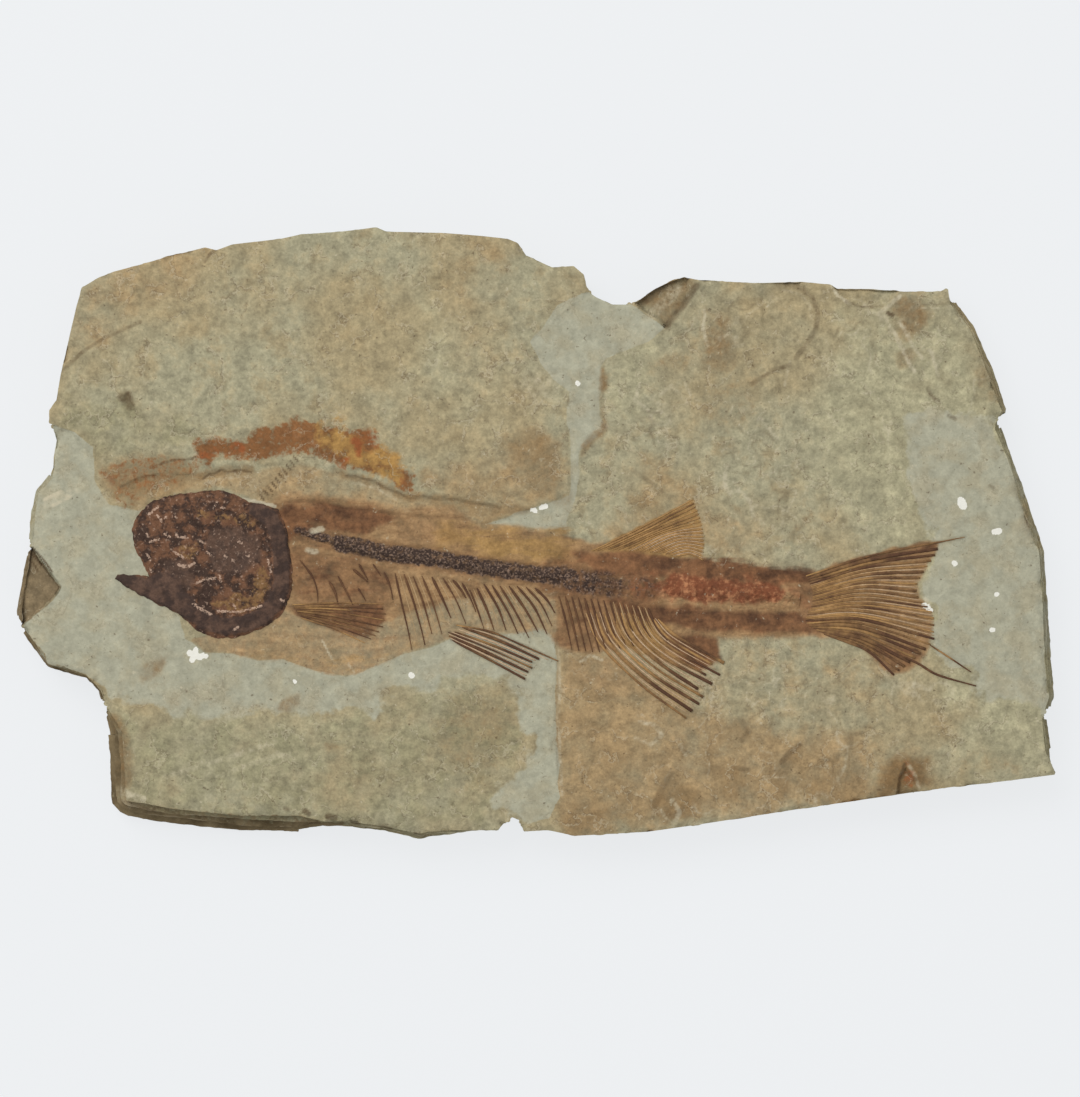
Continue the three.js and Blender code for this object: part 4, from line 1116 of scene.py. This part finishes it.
def backbone_piece(name, node, line, hung, size, material):
    """A stretch of backbone with the bones that hang from it and the pale splinters between them, in one
    piece. The swell takes the marks of the face that it rises from."""
    points, faces = column(line, *size)
    rib_width, rib_height, rib_tip = RIB_SIZE
    bones, bone_faces, owner, along = bars(hung, rib_width, rib_height, tip=rib_tip)
    width, height, tip = SPLINTER_SIZE
    splinters, splinter_faces, _, _ = bars(gaps_between(hung[SHORT_RIBS:]), width, height, tip=tip)
    tone = 0.2 + 0.3 * noise(np.column_stack([owner * 3.1, along * 3]), 1, 43)
    every, face_sets = joined([(points, faces), (bones, bone_faces), (splinters, splinter_faces)])
    on_bone = np.concatenate([np.zeros(len(points)), np.ones(len(bones) + len(splinters))])
    marks = {mark: values * (1 - on_bone) for mark, values in face_marks(every[:, :2]).items()}
    marks["bone"] = on_bone
    marks["tone"] = np.concatenate([np.zeros(len(points)), tone, np.full(len(splinters), PALE_TONE)])
    piece = make_piece(name, every, face_sets, [True, False] * 3, marks)
    return dress(piece, material, node)


def linear(colour):
    """An eye colour of 0 to 255 as the linear light that a shader takes."""
    share = np.asarray(colour, float) / 255
    light = np.where(share <= 0.04045, share / 12.92, ((share + 0.055) / 1.055) ** 2.4)
    return (*light, 1.0)


class Finish:
    """A material in the making: each method adds a node and gives back its output."""

    def __init__(self, name):
        self.material = bpy.data.materials.new(name)
        self.material.use_nodes = True
        self.tree = self.material.node_tree
        self.shader = self.tree.nodes["Principled BSDF"]
        self.place = self.tree.nodes.new("ShaderNodeTexCoord").outputs["Object"]

    def node(self, kind, **settings):
        made = self.tree.nodes.new(kind)
        for key, value in settings.items():
            setattr(made, key, value)
        return made

    def feed(self, socket, value):
        if isinstance(value, bpy.types.NodeSocket):
            self.tree.links.new(value, socket)
        else:
            socket.default_value = value

    def math(self, operation, a, b=0.0, clamp=False):
        made = self.node("ShaderNodeMath", operation=operation, use_clamp=clamp)
        self.feed(made.inputs[0], a)
        self.feed(made.inputs[1], b)
        return made.outputs[0]

    def noise(self, size, detail=3.0, seed=0, stretch=None):
        """Noise from 0 to 1 with features about size mm across."""
        moved = self.node("ShaderNodeVectorMath", operation="MULTIPLY_ADD")
        self.feed(moved.inputs[0], self.place)
        moved.inputs[1].default_value = stretch or (1, 1, 1)
        moved.inputs[2].default_value = (seed * 0.731, seed * 0.417, seed * 0.293)
        made = self.node("ShaderNodeTexNoise")
        self.feed(made.inputs["Vector"], moved.outputs[0])
        made.inputs["Scale"].default_value = 1 / (size * MM)
        made.inputs["Detail"].default_value = detail
        made.inputs["Roughness"].default_value = 0.6
        return made.outputs[0]

    def mark(self, name):
        return self.node("ShaderNodeAttribute", attribute_name=name).outputs["Fac"]

    def ramp(self, value, low, high):
        made = self.node("ShaderNodeMapRange", interpolation_type="SMOOTHSTEP")
        self.feed(made.inputs["Value"], value)
        made.inputs["From Min"].default_value = low
        made.inputs["From Max"].default_value = high
        return made.outputs[0]

    def broken_mark(self, name, spread, pattern, low=0.3, high=0.7):
        """A mark whose edge a pattern breaks up: the mark, moved by the pattern where present, past a soft
        step."""
        mark = self.mark(name)
        swing = self.scaled(self.math("SUBTRACT", pattern, 0.5), NOISE_SWING * spread)
        present = self.math("MULTIPLY", mark, 3.0, True)
        return self.ramp(self.math("ADD", mark, self.math("MULTIPLY", swing, present)), low, high)

    def mix(self, share, a, b):
        made = self.node("ShaderNodeMix", data_type="RGBA", blend_type="MIX")
        self.feed(made.inputs[0], share)
        self.feed(made.inputs[6], a if not isinstance(a, tuple) else linear(a))
        self.feed(made.inputs[7], b if not isinstance(b, tuple) else linear(b))
        return made.outputs[2]

    def ray_colour(self, pattern, light, pale):
        """The colour of a bone or ray by its tone: dark at 0, light at 1 and pale at PALE_TONE."""
        tone = self.math("ADD", self.mark("tone"), self.math("SUBTRACT", pattern, 0.5))
        colour = self.mix(self.ramp(tone, 0.0, 1.0), RAY_DARK, light)
        return self.mix(self.ramp(tone, 1.2, 1.8), colour, pale)

    def brighten(self, colour, pattern, reach):
        """A colour made lighter and darker by up to about reach with a pattern from 0 to 1."""
        level = self.math("MULTIPLY_ADD", pattern, 2 * reach)
        level.node.inputs[2].default_value = 1 - reach
        made = self.node("ShaderNodeVectorMath", operation="SCALE")
        self.feed(made.inputs[0], colour)
        self.feed(made.inputs["Scale"], level)
        return made.outputs[0]

    def weakened(self, pattern, level):
        """A pattern from 0 to 1 drawn towards its middle where the level is low."""
        swing = self.math("MULTIPLY", self.math("SUBTRACT", pattern, 0.5), level)
        return self.math("ADD", swing, 0.5)

    def scaled(self, value, factor):
        return self.math("MULTIPLY", value, factor)

    def done(self, colour, roughness, height, depth):
        """Ends the material with its colour, roughness and a bump of that depth in mm."""
        self.feed(self.shader.inputs["Base Color"], colour)
        self.feed(self.shader.inputs["Roughness"], roughness)
        self.shader.inputs["Specular IOR Level"].default_value = 0.22
        bump = self.node("ShaderNodeBump")
        bump.inputs["Strength"].default_value = 0.8
        bump.inputs["Distance"].default_value = depth * MM
        self.feed(bump.inputs["Height"], height)
        self.feed(self.shader.inputs["Normal"], bump.outputs[0])
        return self.material


def slab_finish(name):
    """Mudstone and filler: mottled grey-green to tan ground with flaked edges drawn as painted highlight and
    painted shade, then the stains in the order they lie, specks and scratches, the pale and shade marks with
    their painted highlights and shadows, bones, and browner, darker broken edges."""
    f = Finish(name)
    broad, patchy = f.noise(42, 3, 1), f.noise(9, 4, 2)
    fine, grit = f.noise(2.0, 4, 3), f.noise(0.8, 3, 4)
    blotch = f.noise(4.5, 5, 5)
    streak = f.noise(3.2, 4, 6, (0.3, 1.2, 1.0))
    stone = f.mix(f.ramp(broad, 0.38, 0.62), STONE_TAN, STONE_GREEN)
    stone = f.mix(f.scaled(f.ramp(patchy, 0.48, 0.7), 0.6), stone, STONE_BROWN)
    stone = f.mix(f.scaled(f.ramp(blotch, 0.53, 0.7), 0.35), stone, STONE_BROWN)
    stone = f.mix(f.broken_mark("sage", 0.7, patchy, 0.0, 1.0), stone, SAGE)
    stone = f.mix(f.scaled(f.broken_mark("ochre", 0.6, patchy, 0.0, 1.0), 0.9), stone, OCHRE)
    stone = f.mix(f.scaled(f.broken_mark("moss", 1.0, patchy, 0.1, 0.9), 0.8), stone, MOSS)
    filler = f.mix(f.ramp(patchy, 0.4, 0.66), FILLER_GREY, FILLER_WARM)
    filler_mark = f.broken_mark("filler", 0.5, blotch)
    ground = f.mix(filler_mark, stone, filler)
    ground = f.mix(f.broken_mark("tea", 0.5, blotch, 0.0, 1.0), ground, TEA)
    ground = f.mix(f.broken_mark("rust", 1.0, fine, 0.1, 0.9), ground, RUST)
    ground = f.mix(f.broken_mark("amber", 1.2, blotch, 0.2, 1.0), ground, AMBER)
    ground = f.mix(f.broken_mark("ember", 1.4, blotch, 0.25, 1.1), ground, EMBER)
    film = f.mix(f.ramp(streak, 0.3, 0.62), FILM_BROWN, FILM_TAN)
    ground = f.mix(f.broken_mark("film", 0.3, blotch, 0.05, 0.95), ground, film)
    ground = f.mix(f.broken_mark("gold", 0.8, streak, 0.1, 0.95), ground, FILM_GOLD)
    umber = f.mix(f.ramp(blotch, 0.28, 0.68), UMBER_DEEP, UMBER)
    ground = f.mix(f.broken_mark("umber", 0.6, streak, 0.05, 0.95), ground, umber)
    rose = f.mix(f.ramp(fine, 0.46, 0.66), ROSE, ROSE_LIGHT)
    ground = f.mix(f.broken_mark("rose", 0.6, blotch, 0.1, 0.95), ground, rose)
    ground = f.mix(f.broken_mark("brown", 0.5, fine), ground, BROWN_STAIN_AND_SHADE)
    level = f.math("SUBTRACT", 1.0, f.scaled(filler_mark, 0.45))
    for pattern, reach in ((patchy, 0.28), (blotch, 0.62), (fine, 0.44), (grit, 0.3)):
        ground = f.brighten(ground, f.weakened(pattern, level), reach)
    # Painted highlight on one side of each flake edge and painted shade on the other, on bare stone.
    flake_light_contour = f.noise(13, 6, 7)
    bare = f.math("MULTIPLY", f.ramp(patchy, 0.44, 0.58), f.math("SUBTRACT", level, f.mark("film"), True))
    for middle, colour in ((0.5, PALE_AND_HIGHLIGHT), (0.483, SHADE)):
        away = f.math("ABSOLUTE", f.math("SUBTRACT", flake_light_contour, middle))
        ground = f.mix(f.scaled(f.math("MULTIPLY", f.ramp(away, 0.018, 0.0), bare), 0.34), ground, colour)
    ground = f.mix(f.scaled(f.ramp(f.noise(1.5, 3, 8), 0.64, 0.74), 0.6), ground, SHADE)
    ground = f.mix(f.scaled(f.ramp(f.noise(2.0, 4, 9), 0.65, 0.74), 0.5), ground, PALE_AND_HIGHLIGHT)
    grains = f.noise(0.8, 2, 15)
    crust = f.mix(f.ramp(grains, 0.46, 0.72), GRAIN_BLACK, GRAIN_GREY)
    ground = f.mix(f.broken_mark("grain", 1.1, fine, 0.12, 1.0), ground, crust)
    ground = f.mix(f.broken_mark("pale", 0.5, fine, 0.05, 1.0), ground, PALE_AND_HIGHLIGHT)
    ground = f.mix(f.broken_mark("shade", 0.4, fine, 0.0, 1.0), ground, SHADE)
    ground = f.mix(f.mark("bone"), ground, f.ray_colour(fine, RAY_BROWN, SPLINTER))
    laminae = f.noise(3.0, 3, 10, (0.25, 0.25, 3.0))
    edge = f.mix(f.ramp(laminae, 0.35, 0.65), EDGE_DARK, EDGE_BROWN)
    ground = f.mix(f.broken_mark("wall", 0.9, fine, 0.25, 0.95), ground, edge)
    ground = f.mix(f.broken_mark("white", 0.8, fine, 0.35, 0.6), ground, WHITE)
    height = f.math("ADD", f.scaled(fine, 0.7), f.scaled(grit, 0.3))
    return f.done(ground, f.ramp(patchy, -0.9, 0.7), height, 0.5)


def skull_finish():
    """Crushed head bone: red-brown and near black in blotches, honey and plum areas, pale pinkish chips."""
    f = Finish("crushed_skull_bone")
    blotch, fine, grit = f.noise(4, 5, 11), f.noise(1.6, 4, 12), f.noise(0.6, 2, 13)
    bone = f.mix(f.ramp(blotch, 0.42, 0.58), BONE_DARK, BONE_RED)
    bone = f.mix(f.scaled(f.broken_mark("honey", 1.3, fine, 0.4, 0.9), 0.8), bone, BONE_HONEY)
    bone = f.mix(f.scaled(f.broken_mark("plum", 1.0, blotch, 0.2, 0.9), 0.8), bone, BONE_PLUM)
    bone = f.mix(f.scaled(f.ramp(f.noise(1.1, 4, 14), 0.57, 0.7), 0.5), bone, BONE_CHIP)
    bone = f.brighten(bone, fine, 0.6)
    ring = f.mix(f.ramp(blotch, 0.4, 0.65), RING_DARK, RING_BROWN)
    bone = f.mix(f.broken_mark("ring", 0.6, fine, 0.25, 0.75), bone, f.brighten(ring, fine, 0.35))
    bone = f.mix(f.scaled(f.broken_mark("chip", 1.4, grit, 0.4, 1.1), 0.8), bone, BONE_CHIP)
    bone = f.brighten(bone, grit, 0.35)
    height = f.math("ADD", f.scaled(fine, 0.7), f.scaled(grit, 0.3))
    return f.done(bone, f.ramp(blotch, -0.8, 0.7), height, 0.4)


def fin_finish():
    """Fin rays: dark to warm brown by ray, streaked."""
    f = Finish("fin_rays")
    fine, blotch = f.noise(1.4, 3, 18), f.noise(5, 3, 19)
    colour = f.ray_colour(blotch, RAY_GOLD, RAY_PALE)
    return f.done(f.brighten(colour, fine, 0.5), f.ramp(blotch, -0.8, 0.6), fine, 0.2)


def studio():
    """A plain pale floor, a large soft light from the upper left, an even fill, a camera straight above."""
    bpy.context.scene.view_settings.view_transform = "Standard"
    floor = bpy.data.meshes.new("studio_floor")
    corners = [(x * FLOOR_REACH, y * FLOOR_REACH, 0) for x, y in ((-1, -1), (1, -1), (1, 1), (-1, 1))]
    floor.from_pydata(corners, [], [(0, 1, 2, 3)])
    floor_piece = bpy.data.objects.new("studio_floor", floor)
    bpy.context.scene.collection.objects.link(floor_piece)
    paint = bpy.data.materials.new("floor_paint")
    paint.use_nodes = True
    shader = paint.node_tree.nodes["Principled BSDF"]
    shader.inputs["Base Color"].default_value = linear(FLOOR_WHITE)
    shader.inputs["Emission Color"].default_value = linear(FLOOR_GLOW)
    shader.inputs["Emission Strength"].default_value = 1.0
    shader.inputs["Roughness"].default_value = 0.9
    shader.inputs["Specular IOR Level"].default_value = 0.1
    floor.materials.append(paint)

    world = bpy.data.worlds.new("studio_fill")
    world.use_nodes = True
    fill = world.node_tree.nodes["Background"]
    fill.inputs["Color"].default_value = (0.985, 0.995, 1.0, 1)
    fill.inputs["Strength"].default_value = FILL_STRENGTH
    bpy.context.scene.world = world

    lamp = bpy.data.lights.new("softbox", "AREA")
    lamp.shape = "SQUARE"
    lamp.size = LAMP_SIZE
    lamp.energy = KEY_POWER
    lamp.color = (1.0, 0.985, 0.96)
    key = bpy.data.objects.new("softbox", lamp)
    key.location = KEY_PLACE
    away = np.array(KEY_PLACE)
    tilt = math.acos(away[2] / np.linalg.norm(away))
    key.rotation_euler = (tilt, 0, math.atan2(away[1], away[0]) + math.pi / 2)
    bpy.context.scene.collection.objects.link(key)

    lens = bpy.data.cameras.new("camera")
    lens.lens = CAMERA_LENS
    lens.sensor_width = CAMERA_SENSOR
    lens.clip_end = 20
    camera = bpy.data.objects.new("camera", lens)
    across, up = mm([PICTURE[0] / 2, PICTURE[1] / 2])
    distance = PICTURE[1] * PIXEL / CAMERA_SENSOR * CAMERA_LENS
    camera.location = (across * MM, up * MM, (FACE + distance) * MM)
    bpy.context.scene.collection.objects.link(camera)
    bpy.context.scene.camera = camera


studio()

mudstone = slab_finish("mended_mudstone")
for piece_name, cad_node in [
    ("left_stone", "stone_left"), ("right_stone", "stone_right"), ("lower_left_stone", "stone_lower_left"),
    ("left_chip", "stone_left_chip"), ("top_filler", "filler_top"), ("belly_filler", "filler_belly"),
    ("tail_filler", "filler_tail"),
]:
    slab_piece(piece_name, cad_node, mudstone)

skull_piece(skull_finish())
grainy = slab_finish("grainy_backbone")
backbone_piece("fish_backbone_front", "backbone_front", FRONT_COLUMN, RAY_GROUPS["ribs"], FRONT_SIZE, grainy)
backbone_piece("fish_backbone_rear", "backbone_rear", REAR_COLUMN, RAY_GROUPS["spines"], REAR_SIZE, grainy)
rays = fin_finish()
dorsal, anal, tail, pelvic = (RAY_GROUPS[fin] for fin in ("dorsal", "anal", "tail", "pelvic"))
for piece_name, cad_node, groups in [
    ("fish_pectoral_fin", "pectoral_fin", [(RAY_GROUPS["pectoral"], 0.75, 0.4, 0.5, 0.35, 0.25)]),
    ("fish_pelvic_fin", "pelvic_fin", [
        (pelvic, 0.95, 0.6, 0.75, 0.15, 0.05), (gaps_between(pelvic), 0.6, 0.3, 0.6, 1.9, 2.0)]),
    ("fish_dorsal_fin", "dorsal_fin", [
        (dorsal[:DORSAL_REAR], 0.7, 0.4, 0.7, 0.5, 0.65), (dorsal[DORSAL_REAR:], 0.6, 0.4, 0.7, 0.75, 0.85),
        (gaps_between(dorsal[DORSAL_REAR:]), 0.4, 0.25, 0.6, 1.3, 2.0)]),
    ("fish_anal_fin", "anal_fin", [
        (anal, 1.05, 0.5, 1.0, 0.8, 0.1), (gaps_between(anal), 0.5, 0.25, 0.5, 1.5, 2.0)]),
    ("fish_tail_fin", "tail_fin", [
        (tail[:TAIL_UPPER], 1.15, 0.5, 0.8, 0.25, 0.15),
        (tail[TAIL_UPPER:TAIL_LOWER], 0.95, 0.45, 0.8, 0.45, 0.4),
        (tail[TAIL_LOWER:], 1.15, 0.5, 0.8, 0.4, 0.2),
        (gaps_between(tail[TAIL_UPPER - 1 : TAIL_LOWER]), 0.45, 0.25, 0.6, 0.9, 2.0),
        (RAY_GROUPS["threads"], 0.75, 0.4, 0.5, 0.1, 0.2)]),
]:
    ray_piece(piece_name, cad_node, groups, rays)
